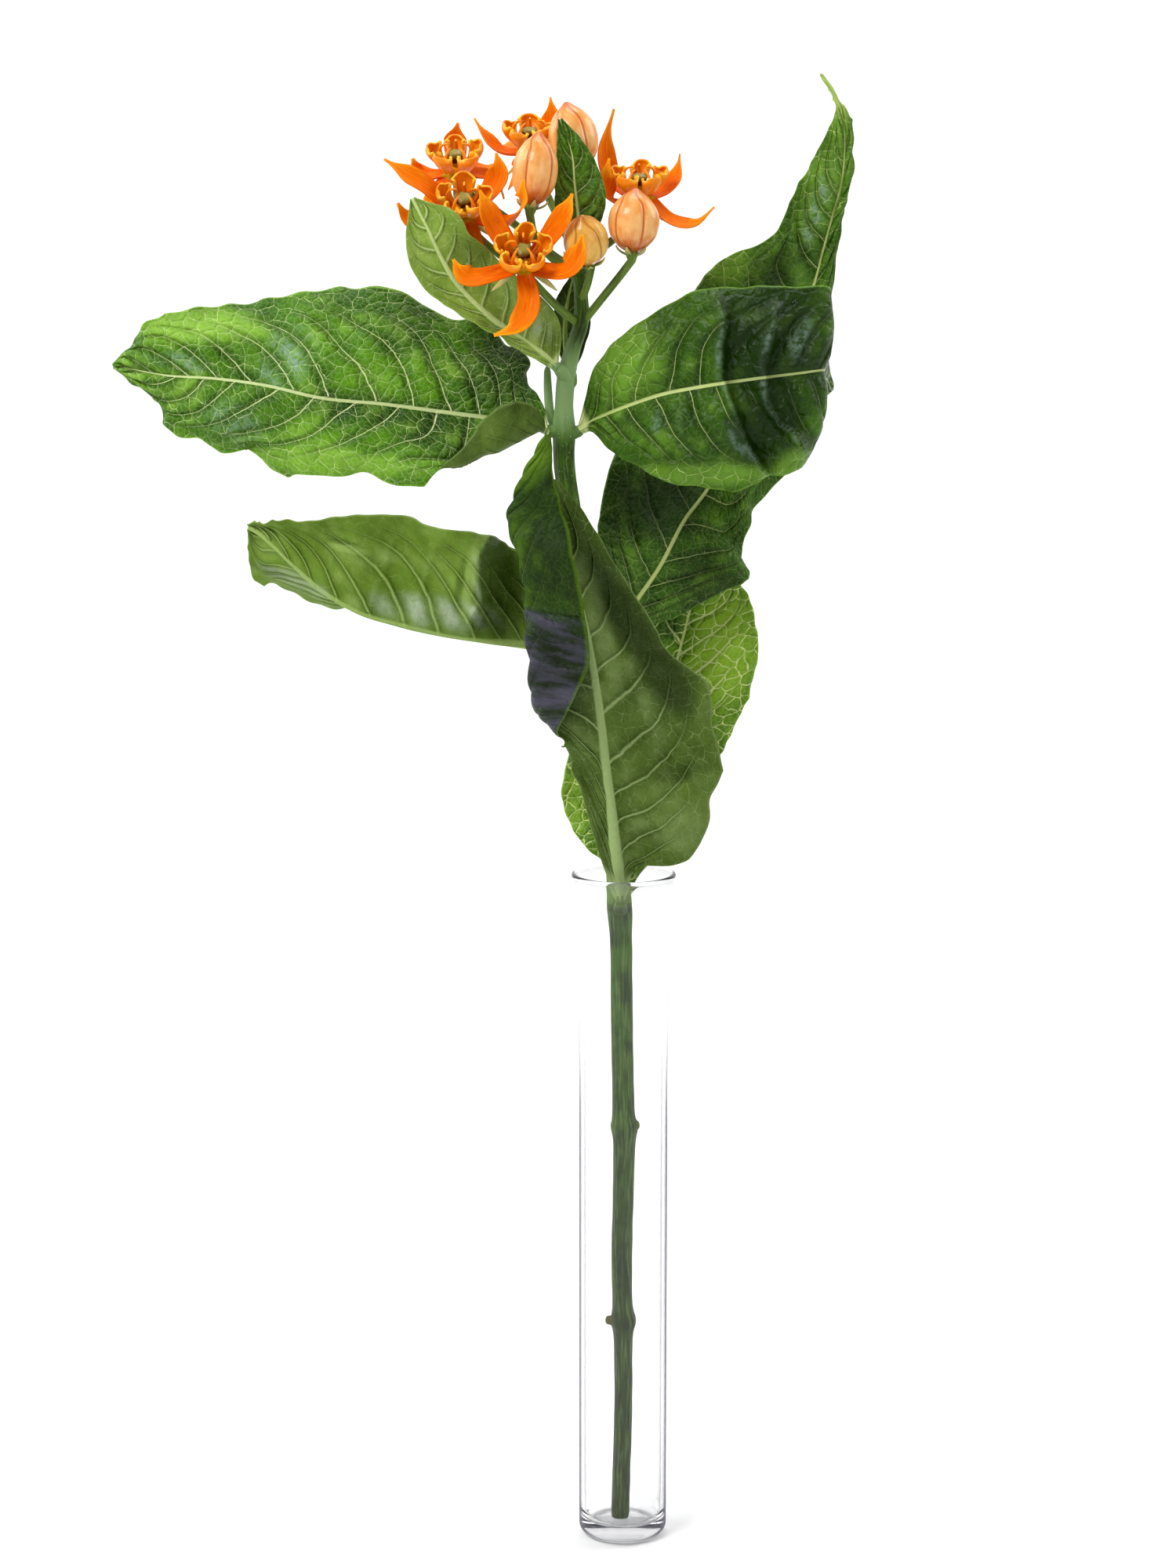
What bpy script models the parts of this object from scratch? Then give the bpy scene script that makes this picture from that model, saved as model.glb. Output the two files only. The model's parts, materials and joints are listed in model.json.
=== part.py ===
"""Butterfly weed in a slim glass tube vase.

Metres, +Z up, origin at the centre of the vase's underside, viewer on the -Y side.
The plant's curves are given as the viewer sees them: column and row of a 1500 x 2000 picture
taken from EYE, and millimetres behind the vase's axis. spot() turns such a place into metres.
Every thickness, radius, width and height is a real size in millimetres.
"""

import math

import bmesh
import bpy
import numpy as np

MM = 0.001

# Viewpoint of the picture
EYE = np.array((-7.7, -750.0, 305.8)) * MM
PITCH = math.radians(10.31)
FOCAL_COLUMNS = 4526.0
PICTURE_CENTRE = (750.0, 1000.0)

# Vase
VASE_HEIGHT = 150.0
FOOT_RADIUS = 9.65
NECK_RADIUS = 10.3
LIP_RADIUS = 11.3
WALL = 1.1
BASE_THICK = 3.2
FOOT_ROUND = 2.4
INNER_ROUND = 3.2
STRAIGHT_TOP = 105.0
LIP_START = 146.6
VASE_SIDES = 36

# Plant tissue
BLADE_THICK = 0.62
PETIOLE_RADIUS = 1.1
MIDRIB_RELIEF = 0.9
PETAL_THICK = 0.6
SEAT_GAP = 0.32
STUB_GAP = 0.75
PEDICEL_RADIUS = 0.85

# Flower, heights along its own axis above the top of the pedicel
DISC_FROM, DISC_TO, DISC_RADIUS = 0.3, 1.4, 1.8
CROWN_FROM, CROWN_TO, CROWN_RADIUS = 1.8, 2.9, 2.1
HEAD_FROM, HEAD_TO, HEAD_RADIUS = 3.25, 6.3, 1.6
HOOD_TOP, HOOD_REACH, HOOD_WIDTH, HOOD_THICK = 7.4, 5.6, 3.9, 0.6
PETALS = 5
PETAL_ROOT, PETAL_LEAVES, PETAL_LEVEL = 0.6, 2.6, 0.98
PETAL_WIDTH = 4.3
BLOOM_TURN = 0.25

# A petal's width at its foot, where it begins to taper, how far, and how deep its middle dips, as shares
PETAL_FOOT, PETAL_TAPER_FROM, PETAL_TAPER, PETAL_DIP = 0.34, 0.72, 0.62, 0.28

# A hood's back, reach and height, from its ring to its rim, and its width there as a share
HOOD_BACK = ((1.5, 2.3), (3.1, 2.9), (4.5, 4.6), (HOOD_REACH, HOOD_TOP))
HOOD_SPREAD = (0.46, 0.88, 1.2, 0.8)
HOOD_CURL = 0.45

# Height and radius up a head
HEAD_LEVELS = ((HEAD_FROM, HEAD_RADIUS * 0.85), (4.4, HEAD_RADIUS), (5.6, HEAD_RADIUS * 0.95), (HEAD_TO, 0.9))

# Height and radius up a bud, as shares of its length and girth, and how far its seams sink
BUD_LEVELS = (
    (0.0, 0.24), (0.08, 0.56), (0.25, 0.88), (0.45, 1.0),
    (0.65, 0.9), (0.83, 0.6), (0.94, 0.3), (1.0, 0.1),
)
BUD_SEAM = 0.035

# Radii of a leaf's boss from the stem outwards, and of the cup that ends a flower's stalk
BOSS_RADII = (1.9, 1.3, 1.15)
CUP_RADII = (1.0, 1.35, 1.35)

# The stem from its cut end to the umbel: column, row, back, radius
STEM = (
    (791, 1934, -1.2, 2.0), (793, 1870, -1.1, 2.0), (795, 1800, -1.0, 2.0), (795, 1710, -0.8, 2.1),
    (795, 1685, -0.8, 2.8), (794, 1662, -0.7, 2.2), (793, 1600, -0.6, 2.3), (795, 1520, -0.4, 2.3),
    (796, 1458, -0.3, 2.45), (796, 1435, -0.3, 3.0), (795, 1412, -0.2, 2.45), (793, 1300, 0.0, 2.4),
    (792, 1200, 0.2, 2.4), (790, 1155, 0.3, 2.75), (787, 1110, 0.4, 2.4), (775, 980, 0.5, 2.3),
    (763, 880, 0.5, 2.25), (755, 830, 0.4, 2.55), (748, 785, 0.3, 2.25), (736, 700, 0.1, 2.2),
    (721, 600, 0.0, 2.2), (720, 550, 0.0, 2.35), (720, 515, 0.0, 1.9), (723, 478, 0.0, 1.9),
    (731, 445, 0.1, 1.6), (741, 412, 0.3, 1.6), (741, 375, 0.6, 1.45), (738, 338, 1.0, 1.35),
)

# Slim side stalks that stay one piece with the stem
SIDE_STALKS = {
    "axil_shoot": ((711, 556, 1.2, 1.0), (702, 528, 2.2, 0.95), (699, 500, 2.9, 0.9), (698, 466, 3.4, 0.7)),
    "old_bud_low": ((789, 1684, -0.8, 1.2), (775, 1683, -1.0, 0.95)),
    "old_bud_high": ((800, 1436, -0.3, 1.3), (813, 1434, -0.6, 1.0)),
}


def leaf(midrib, left, right, arch=0.08, left_fold=None, right_fold=None,
         wave=0.5, waves=6.0, calm=0.9, plain=1):
    """One leaf's guides, base to tip, left and right as seen from above with the tip ahead.
    Its margin waves up to the share of the length that calm gives."""
    return {
        "midrib": midrib, "left": left, "right": right, "arch": arch,
        "left_fold": left_fold or {}, "right_fold": right_fold or {},
        "wave": wave, "waves": waves, "calm": calm, "plain": plain,
    }


LEAVES = {
    "leaf_upper_left": leaf(
        midrib=((695, 547, -0.8), (683, 542, -1.6), (655, 537, -2.5), (615, 532, -4.0), (560, 525, -5.0),
                (490, 516, -6.0), (410, 508, -6.0), (340, 492, -4.5), (275, 483, -2.5), (215, 479, 0.5),
                (170, 471, 3.5), (146, 467, 6.0)),
        left=((699, 554, -0.5), (693, 533, -6.0), (672, 514, -11.5), (632, 521, -14.5), (588, 572, -13.5),
              (522, 617, -10.5), (430, 607, -7.5), (356, 599, -5.0), (284, 578, -3.0), (218, 545, 0.0),
              (176, 494, 3.0), (147, 470, 6.0)),
        right=((698, 540, -0.5), (694, 520, 0.5), (676, 486, 2.5), (662, 447, 4.5), (622, 420, 6.0),
               (545, 382, 6.5), (458, 367, 6.0), (370, 381, 4.5), (285, 391, 2.5), (208, 399, 1.5),
               (174, 432, 3.5), (145, 463, 6.0)),
        left_fold={1: (690, 549, -4.6), 2: (666, 558, -8.5), 3: (624, 572, -10.5), 4: (583, 592, -10.5)},
        wave=0.7, waves=8.0),
    "leaf_lower_left": leaf(
        midrib=((732, 830, -1.3), (706, 827, -3.0), (672, 823, -4.0), (640, 819, -4.5), (605, 814, -5.5),
                (560, 807, -6.5), (510, 797, -7.0), (460, 782, -6.0), (415, 756, -4.0), (380, 726, -2.0),
                (350, 697, 0.5), (331, 681, 2.0), (317, 673, 3.0)),
        left=((735, 823, -1.2), (706, 790, -2.5), (674, 718, -1.0), (648, 694, -0.5), (616, 680, -8.0),
              (572, 676, -10.0), (520, 662, -8.5), (470, 656, -7.0), (420, 661, -5.0), (378, 665, -3.0),
              (345, 662, -1.0), (326, 666, 1.0), (315, 669, 3.0)),
        right=((733, 837, -1.2), (708, 829, 2.5), (676, 815, 7.0), (645, 806, 8.5), (610, 799, 9.0),
               (562, 790, 9.5), (512, 783, 9.0), (455, 777, 7.5), (398, 765, 6.5), (352, 748, 6.0),
               (324, 740, 5.5), (317, 706, 4.5), (316, 677, 3.2)),
        left_fold={3: (641, 765, -3.0), 4: (604, 742, -11.0), 5: (566, 742, -10.5)},
        wave=0.6, waves=7.0),
    "leaf_front": leaf(
        midrib=((791, 1146, -4.4), (789, 1115, -6.3), (785, 1080, -8.0), (780, 1030, -10.5), (773, 980, -13.0),
                (766, 920, -15.5), (757, 860, -17.5), (748, 810, -18.5), (735, 760, -19.0), (718, 710, -19.0),
                (697, 665, -18.5), (682, 630, -19.0), (688, 600, -20.5), (695, 574, -20.5), (700, 548, -20.0)),
        left=((797, 1146, -4.4), (812, 1110, -5.0), (858, 1103, -5.0), (890, 1080, -6.0), (914, 1020, -7.5),
              (918, 955, -9.0), (902, 872, -11.0), (868, 838, -12.5), (832, 792, -13.5), (795, 736, -14.0),
              (757, 676, -14.0), (718, 615, -14.5), (676, 603, -18.5), (687, 572, -20.0), (699, 546, -20.0)),
        right=((785, 1146, -4.4), (767, 1098, -6.5), (754, 1055, -8.5), (738, 1000, -11.5), (724, 958, -15.0),
               (712, 936, -20.5), (735, 886, -26.0), (751, 848, -27.5), (748, 800, -28.0), (739, 742, -27.5),
               (727, 682, -26.0), (713, 640, -24.5), (705, 603, -22.5), (704, 574, -21.0), (702, 547, -20.0)),
        right_fold={5: (715, 925, -16.5), 6: (684, 878, -21.5), 7: (674, 825, -23.5), 8: (670, 772, -24.0),
                    9: (662, 715, -23.5), 10: (652, 668, -22.5), 11: (660, 632, -22.0), 12: (674, 602, -22.0),
                    13: (687, 573, -21.0)},
        wave=0.5, waves=7.0),
    "leaf_back": leaf(
        midrib=((796, 1144, 4.9), (800, 1116, 6.6), (806, 1080, 10.0), (817, 1030, 13.5), (828, 980, 16.5),
                (840, 930, 19.5), (853, 880, 22.0), (867, 830, 24.0), (880, 780, 25.5), (893, 735, 27.5),
                (905, 695, 30.0)),
        left=((790, 1144, 4.9), (784, 1112, 6.5), (750, 1082, 10.5), (723, 1045, 13.5), (718, 995, 16.5),
              (735, 930, 19.0), (760, 868, 21.5), (790, 810, 23.5), (825, 757, 25.5), (862, 716, 27.5),
              (902, 695, 30.0)),
        right=((802, 1144, 4.9), (817, 1114, 6.8), (862, 1068, 11.0), (895, 1015, 14.5), (918, 965, 17.0),
               (940, 922, 19.0), (958, 880, 21.0), (966, 825, 22.5), (961, 780, 25.0), (940, 738, 27.5),
               (908, 695, 30.0)),
        wave=0.6, waves=7.0),
    "leaf_upper_right": leaf(
        midrib=((742, 547, -1.1), (762, 534, -3.4), (800, 518, -8.0), (845, 503, -11.5), (890, 494, -14.5),
                (935, 487, -16.5), (980, 481, -18.0), (1020, 476, -18.5), (1049, 472, -16.5), (1050, 474, -8.0),
                (1053, 482, 0.5), (1060, 494, 8.0)),
        left=((741, 541, -1.1), (748, 504, -3.0), (760, 464, -5.0), (800, 424, -7.0), (850, 391, -9.5),
              (905, 368, -12.0), (962, 365, -13.5), (1015, 366, -14.5), (1054, 367, -13.0), (1048, 395, -6.0),
              (1046, 440, 1.5), (1062, 491, 8.0)),
        right=((744, 553, -1.1), (757, 552, -4.2), (783, 578, -7.5), (828, 604, -10.5), (880, 620, -13.5),
               (932, 627, -16.0), (975, 615, -17.5), (1006, 603, -18.0), (1026, 592, -16.0), (1030, 560, -8.0),
               (1038, 525, 0.5), (1060, 498, 8.0)),
        wave=0.6, waves=6.0, calm=0.55),
    "leaf_long": leaf(
        midrib=((775, 820, 2.4), (793, 792, 6.0), (818, 757, 11.0), (843, 720, 15.0), (872, 665, 19.0),
                (905, 620, 22.0), (945, 550, 24.0), (980, 490, 25.0), (1012, 425, 25.0), (1037, 366, 24.0),
                (1050, 318, 22.5), (1062, 274, 21.0), (1072, 238, 19.5), (1077, 200, 17.5), (1076, 160, 15.5),
                (1066, 126, 13.5), (1048, 95, 12.0)),
        left=((770, 816, 2.4), (773, 772, 5.5), (763, 715, 10.0), (763, 672, 13.5), (771, 622, 17.0),
              (790, 565, 19.5), (830, 480, 21.5), (866, 415, 23.0), (890, 366, 23.5), (916, 334, 22.5),
              (982, 303, 21.0), (1003, 268, 19.5), (1022, 228, 18.0), (1043, 191, 17.0), (1063, 150, 15.5),
              (1061, 120, 13.5), (1046, 94, 12.0)),
        right=((780, 824, 2.4), (809, 803, 7.0), (862, 787, 11.5), (924, 754, 15.0), (952, 738, 17.5),
               (944, 700, 20.0), (961, 652, 22.5), (1004, 595, 24.5), (1032, 505, 25.5), (1058, 400, 25.0),
               (1066, 325, 23.5), (1075, 268, 22.0), (1081, 228, 20.5), (1087, 188, 18.5), (1084, 155, 16.0),
               (1071, 125, 14.0), (1050, 96, 12.0)),
        wave=0.7, waves=9.0),
    "leaf_small_left": leaf(
        midrib=((708, 466, -2.6), (690, 451, -3.6), (660, 430, -4.0), (620, 400, -5.2), (585, 365, -6.2),
                (562, 327, -7.0), (545, 290, -7.2), (526, 253, -6.0)),
        left=((713, 461, -2.6), (716, 425, -1.6), (706, 396, -1.6), (672, 362, -2.5), (634, 330, -4.2),
              (605, 302, -7.6), (580, 270, -9.0), (529, 252, -6.2)),
        right=((704, 471, -2.6), (684, 459, -4.8), (648, 440, -6.0), (607, 414, -7.0), (566, 390, -7.5),
               (537, 362, -7.0), (518, 318, -6.9), (523, 254, -6.0)),
        wave=0.3, waves=4.0, plain=0),
    "leaf_small_right": leaf(
        midrib=((727, 472, 3.4), (723, 450, 4.6), (721, 420, 5.5), (724, 385, 6.5), (732, 350, 7.0)),
        left=((732, 472, 3.4), (744, 448, 4.9), (753, 415, 6.0), (748, 375, 7.0), (734, 350, 7.0)),
        right=((722, 472, 3.4), (713, 448, 4.9), (707, 415, 6.5), (710, 380, 7.0), (729, 350, 7.0)),
        wave=0.2, waves=3.0, plain=0),
    "leaf_top": leaf(
        midrib=((735, 322, -1.1), (738, 298, 0.0), (737, 272, 0.8), (733, 235, 1.1), (729, 195, 1.0),
                (714, 152, 0.8)),
        left=((730, 322, -1.1), (720, 297, 0.2), (708, 266, 0.6), (707, 232, 0.7), (710, 190, 0.6),
              (712, 152, 0.8)),
        right=((740, 322, -1.1), (758, 300, 0.2), (771, 266, 0.6), (769, 230, 0.7), (749, 188, 0.5),
               (717, 151, 0.8)),
        wave=0.3, waves=4.0, plain=0),
}

# Rows along and columns to each side
LEAF_DETAIL = {"leaf_front": (29, 4), "other": (21, 3), "small": (11, 2)}

# Where each leaf's stub leaves the stem: column, row, back
LEAF_ROOTS = {
    "leaf_upper_left": (719, 551, 0.0),
    "leaf_lower_left": (756, 832, 0.4),
    "leaf_front": (791, 1164, 0.3),
    "leaf_back": (791, 1164, 0.3),
    "leaf_upper_right": (720, 554, 0.0),
    "leaf_long": (755, 838, 0.4),
    "leaf_small_left": (723, 482, 0.0),
    "leaf_small_right": (725, 486, 0.1),
    "leaf_top": (738, 345, 0.8),
}

# Each bloom: top of its pedicel, its axis, the pedicel's way from the stem, and where its petals pass and end
BLOOMS = {
    "front": {
        "foot": (668, 340, -9.0), "axis": (0.0, -0.77, 0.64),
        "pedicel": ((738, 412, 0.2), (716, 396, -2.0), (690, 370, -5.2)),
        "petals": (
            ((608, 353, -14.0), (588, 346, -14.5), (578, 331, -13.5)),
            ((674, 388, -15.5), (657, 416, -17.5), (630, 428, -17.0)),
            ((718, 345, -14.5), (737, 322, -15.2), (743, 299, -14.5)),
            ((637, 296, -7.9), (622, 266, -8.9), (612, 243, -9.0)),
            ((705, 294, -9.5), (721, 268, -11.2), (730, 247, -11.0)),
        ),
    },
    "left": {
        "foot": (593, 277, 1.0), "axis": (0.0, -0.70, 0.71),
        "pedicel": ((738, 350, 1.0), (705, 348, 4.5), (662, 340, 5.0), (622, 313, 4.0)),
        "petals": (
            ((543, 235, -0.5), (514, 218, -1.5), (490, 203, -2.5)),
            ((545, 286, 1.5), (520, 277, 1.5), (507, 259, 1.0)),
            ((645, 283, -2.4), (663, 258, -9.0), (668, 229, -9.8)),
            ((626, 240, 2.0), (636, 217, 2.0), (633, 195, 2.5)),
            ((603, 316, 1.5), (596, 338, 1.5), (578, 352, 1.5)),
        ),
    },
    "far_left": {
        "foot": (582, 226, 9.0), "axis": (0.0, -0.50, 0.87),
        "pedicel": ((738, 345, 1.5), (705, 325, 9.0), (655, 285, 10.5), (608, 252, 10.5)),
        "petals": (
            ((581, 190, 14.5), (581, 173, 14.0), (584, 157, 12.5)),
            ((546, 222, 9.0), (532, 214, 8.5), (526, 202, 8.5)),
            ((622, 222, 9.0), (638, 236, 8.0), (643, 254, 8.5)),
            ((556, 250, 6.0), (548, 262, 6.5), (546, 276, 7.5)),
            ((608, 213, 16.5), (618, 208, 19.5), (622, 212, 22.5)),
        ),
    },
    "back": {
        "foot": (676, 199, 15.0), "axis": (0.0, -0.34, 0.94),
        "pedicel": ((738, 340, 1.5), (722, 300, 11.0), (696, 245, 16.0)),
        "petals": (
            ((640, 190, 14.0), (620, 172, 13.5), (605, 151, 13.0)),
            ((697, 172, 19.5), (704, 148, 19.0), (702, 124, 18.0)),
            ((712, 205, 17.5), (726, 214, 19.0), (732, 230, 20.0)),
            ((664, 214, 11.0), (656, 228, 11.3), (648, 242, 12.0)),
            ((654, 184, 22.5), (644, 182, 25.5), (636, 190, 28.0)),
        ),
    },
    "right": {
        "foot": (816, 258, 8.5), "axis": (-0.02, -0.34, 0.94),
        "pedicel": ((738, 345, 1.5), (762, 322, 6.5), (798, 292, 9.0)),
        "petals": (
            ((781, 226, 13.0), (773, 184, 12.0), (783, 139, 11.0)),
            ((785, 254, 4.8), (773, 230, 4.5), (777, 202, 5.5)),
            ((850, 240, 10.5), (863, 220, 10.5), (867, 196, 10.0)),
            ((855, 278, 5.8), (886, 284, 4.0), (911, 264, 3.5)),
            ((823, 243, 16.5), (831, 246, 20.0), (836, 258, 22.5)),
        ),
    },
}

# Each bud: base, tip, greatest radius, and the pedicel's way from the stem
BUDS = {
    "left": {"base": (677, 264, -3.5), "tip": (688, 168, -3.0), "radius": 4.75,
             "pedicel": ((738, 345, 0.8), (705, 330, 0.5), (682, 300, -2.2))},
    "top": {"base": (740, 218, 8.0), "tip": (722, 130, 7.5), "radius": 5.2,
            "pedicel": ((738, 345, 1.2), (740, 300, 6.0), (741, 250, 7.8))},
    "front": {"base": (752, 336, -4.0), "tip": (742, 275, -10.0), "radius": 4.7,
              "pedicel": ((741, 385, 0.4), (749, 363, -1.8))},
    "right": {"base": (806, 323, -3.0), "tip": (811, 240, -3.5), "radius": 5.35,
              "pedicel": ((743, 412, 0.2), (762, 388, -1.2), (790, 353, -2.6))},
}


def spot(column, row, back):
    """World place seen at a column and row of the picture, back millimetres behind the vase's axis."""
    across = (column - PICTURE_CENTRE[0]) / FOCAL_COLUMNS
    rise = (PICTURE_CENTRE[1] - row) / FOCAL_COLUMNS
    ray = np.array((across, math.cos(PITCH) + rise * math.sin(PITCH), rise * math.cos(PITCH) - math.sin(PITCH)))
    return EYE + ray * ((back * MM - EYE[1]) / ray[1])


def spots(points):
    return np.array([spot(*point[:3]) for point in points])


def unit(vectors):
    vectors = np.asarray(vectors, float)
    return vectors / np.maximum(np.linalg.norm(vectors, axis=-1, keepdims=True), 1e-12)


def through(points, count):
    """count places on a smooth curve through the points, evenly spread by point number."""
    points = np.asarray(points, float)
    padded = np.concatenate([2 * points[:1] - points[1:2], points, 2 * points[-1:] - points[-2:-1]])
    at = np.linspace(0, len(points) - 1, count)
    start = np.minimum(at.astype(int), len(points) - 2)
    part = (at - start).reshape((-1,) + (1,) * (points.ndim - 1))
    a, b, c, d = (padded[start + step] for step in range(4))
    bend = (2 * a - 5 * b + 4 * c - d) * part**2 + (3 * b - a - 3 * c + d) * part**3
    return 0.5 * (2 * b + (c - a) * part + bend)


def ease(low, high, value):
    step = np.clip((value - low) / (high - low), 0, 1)
    return step * step * (3 - 2 * step)


def material(name, colour, roughness, transmission=0.0):
    """A plain Principled finish, colour as linear red, green and blue."""
    made = bpy.data.materials.get(name) or bpy.data.materials.new(name)
    made.use_nodes = True
    shader = made.node_tree.nodes["Principled BSDF"]
    shader.inputs["Base Color"].default_value = (*colour, 1)
    shader.inputs["Roughness"].default_value = roughness
    shader.inputs["Metallic"].default_value = 0.0
    shader.inputs["Transmission Weight"].default_value = transmission
    return made


FINISHES = {
    "clear_glass": ((0.95, 0.97, 1.0), 0.02, 1.0),
    "stem_green": ((0.10, 0.20, 0.04), 0.5, 0.0),
    "leaf_green": ((0.04, 0.16, 0.015), 0.4, 0.0),
    "petal_orange": ((0.95, 0.16, 0.01), 0.45, 0.0),
    "corona_amber": ((1.0, 0.34, 0.01), 0.4, 0.0),
    "head_olive": ((0.28, 0.16, 0.02), 0.45, 0.0),
    "bud_peach": ((0.88, 0.38, 0.12), 0.4, 0.0),
}


def add_object(name, mesh, finish):
    mesh.materials.append(material(finish, *FINISHES[finish]))
    made = bpy.data.objects.new(name, mesh)
    bpy.context.scene.collection.objects.link(made)
    return made


def solid(name, points, faces, finish):
    """A named object of triangles, turned so that its faces point out."""
    mesh = bpy.data.meshes.new(name)
    mesh.from_pydata([tuple(map(float, point)) for point in points], [], faces)
    form = bmesh.new()
    form.from_mesh(mesh)
    bmesh.ops.recalc_face_normals(form, faces=form.faces)
    form.to_mesh(mesh)
    form.free()
    mesh.shade_smooth()
    mesh.set_sharp_from_angle(angle=math.radians(50))
    return add_object(name, mesh, finish)


def ring_faces(rings, around):
    """Triangles of a closed skin on rings of equal count, the first and last ring filled."""
    faces = []
    for ring in range(rings - 1):
        for place in range(around):
            a = ring * around + place
            b = ring * around + (place + 1) % around
            faces += [(a, b, b + around), (a, b + around, a + around)]
    last = (rings - 1) * around
    faces += [(0, place + 1, place) for place in range(1, around - 1)]
    faces += [(last, last + place, last + place + 1) for place in range(1, around - 1)]
    return faces


def tube(name, path, radii, sides, finish="stem_green"):
    """A closed round rod along a path, its rings turned as little as they can be."""
    path = np.asarray(path, float)
    heading = unit(np.gradient(path, axis=0))
    across = unit(np.cross(heading[0], (0.31, 0.93, 0.18)))
    points = []
    for place, ahead, radius in zip(path, heading, radii):
        across = unit(across - ahead * np.dot(across, ahead))
        other = np.cross(ahead, across)
        for side in range(sides):
            angle = 2 * math.pi * side / sides
            points.append(place + radius * (across * math.cos(angle) + other * math.sin(angle)))
    return solid(name, points, ring_faces(len(path), sides), finish)


def blade(name, upper, lower, finish):
    """A closed blade between an upper and a lower grid, split into the same triangles on both."""
    rows, columns = upper.shape[:2]
    ring = [(top, True) for top in range(columns)] + [(low, False) for low in reversed(range(columns))]
    points = [(upper if on_top else lower)[row, place] for row in range(rows) for place, on_top in ring]
    around = 2 * columns
    faces = []
    for row in range(rows - 1):
        here, there = row * around, (row + 1) * around
        for place in range(columns - 1):
            mirrored = around - 1 - place
            faces += [(here + place, here + place + 1, there + place + 1),
                      (here + place, there + place + 1, there + place),
                      (here + mirrored, there + mirrored - 1, here + mirrored - 1),
                      (here + mirrored, there + mirrored, there + mirrored - 1)]
        for place, beside in ((columns - 1, columns), (around - 1, 0)):
            corner = (here + place, there + beside)
            faces += [(corner[0], here + beside, corner[1]), (*corner, there + place)]
    for start, turned in ((0, False), ((rows - 1) * around, True)):
        for place in range(columns - 1):
            mirrored = around - 1 - place
            quad = [start + place, start + mirrored, start + mirrored - 1, start + place + 1]
            quad = quad[::-1] if turned else quad
            faces += [(quad[0], quad[1], quad[2]), (quad[0], quad[2], quad[3])]
    return solid(name, points, faces, finish)


def fused(name, pieces, finish):
    """One body from pieces that reach into each other. The first piece carries the union."""
    first, rest = pieces[0], pieces[1:]
    group = bpy.data.collections.new(name + "_pieces")
    for piece in rest:
        bpy.context.scene.collection.objects.unlink(piece)
        group.objects.link(piece)
    join = first.modifiers.new("join", "BOOLEAN")
    join.operation, join.operand_type, join.collection, join.solver = "UNION", "COLLECTION", group, "MANIFOLD"
    evaluated = first.evaluated_get(bpy.context.evaluated_depsgraph_get())
    mesh = bpy.data.meshes.new_from_object(evaluated)
    for piece in pieces:
        bpy.data.objects.remove(piece)
    bpy.data.collections.remove(group)
    form = bmesh.new()
    form.from_mesh(mesh)
    bmesh.ops.triangulate(form, faces=form.faces)
    form.to_mesh(mesh)
    form.free()
    mesh.materials.clear()
    mesh.shade_smooth()
    mesh.set_sharp_from_angle(angle=math.radians(50))
    return add_object(name, mesh, finish)


def arc(centre, radius, start, end, count):
    angles = np.radians(np.linspace(start, end, count))
    return [(centre[0] + radius * math.cos(a), centre[1] + radius * math.sin(a)) for a in angles]


def vase_profile():
    """Radius and height in mm, from the inner floor over the lip and down to the underside."""
    bore = FOOT_RADIUS - WALL
    lip_middle = VASE_HEIGHT - WALL / 2
    inner = [(0, BASE_THICK)]
    inner += arc((bore - INNER_ROUND, BASE_THICK + INNER_ROUND), INNER_ROUND, -90, 0, 4)
    inner += [(bore, STRAIGHT_TOP), (NECK_RADIUS - WALL, LIP_START)]
    bead = arc((LIP_RADIUS - WALL / 2, lip_middle), WALL / 2, 135, -45, 4)
    outer = [(NECK_RADIUS, LIP_START), (FOOT_RADIUS, STRAIGHT_TOP)]
    outer += arc((FOOT_RADIUS - FOOT_ROUND, FOOT_ROUND), FOOT_ROUND, 0, -90, 4)
    return inner + bead + outer + [(0, 0)]


def make_vase():
    """The profile turned once round the axis."""
    profile = vase_profile()
    mesh = bpy.data.meshes.new("vase")
    edges = [(number, number + 1) for number in range(len(profile) - 1)]
    mesh.from_pydata([(radius * MM, 0, height * MM) for radius, height in profile], edges, [])
    vase = add_object("vase", mesh, "clear_glass")
    turn = vase.modifiers.new("turn", "SCREW")
    turn.steps = turn.render_steps = VASE_SIDES
    turn.use_merge_vertices, turn.merge_threshold = True, 0.00005
    turn.use_smooth_shade = True


def rib_guides(guides):
    """Left edge, left middle, midrib, right middle and right edge at each station."""
    midrib, left, right = (spots(guides[key]) for key in ("midrib", "left", "right"))
    heading, side = unit(midrib[1] - midrib[0]), right[0] - left[0]
    side = unit(side - heading * np.dot(side, heading)) * PETIOLE_RADIUS * MM
    left[0], right[0] = midrib[0] - side, midrib[0] + side
    up = unit(np.cross(right - left, np.gradient(midrib, axis=0)))
    ribs = []
    for edge, folds in ((left, guides["left_fold"]), (right, guides["right_fold"])):
        width = np.linalg.norm(edge - midrib, axis=1, keepdims=True)
        middle = (midrib + edge) / 2 + up * width * guides["arch"]
        for station, place in folds.items():
            middle[station] = spot(*place)
        ribs.append((edge, middle))
    (left, left_middle), (right, right_middle) = ribs
    return np.stack([left, left_middle, midrib, right_middle, right], axis=1)


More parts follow.
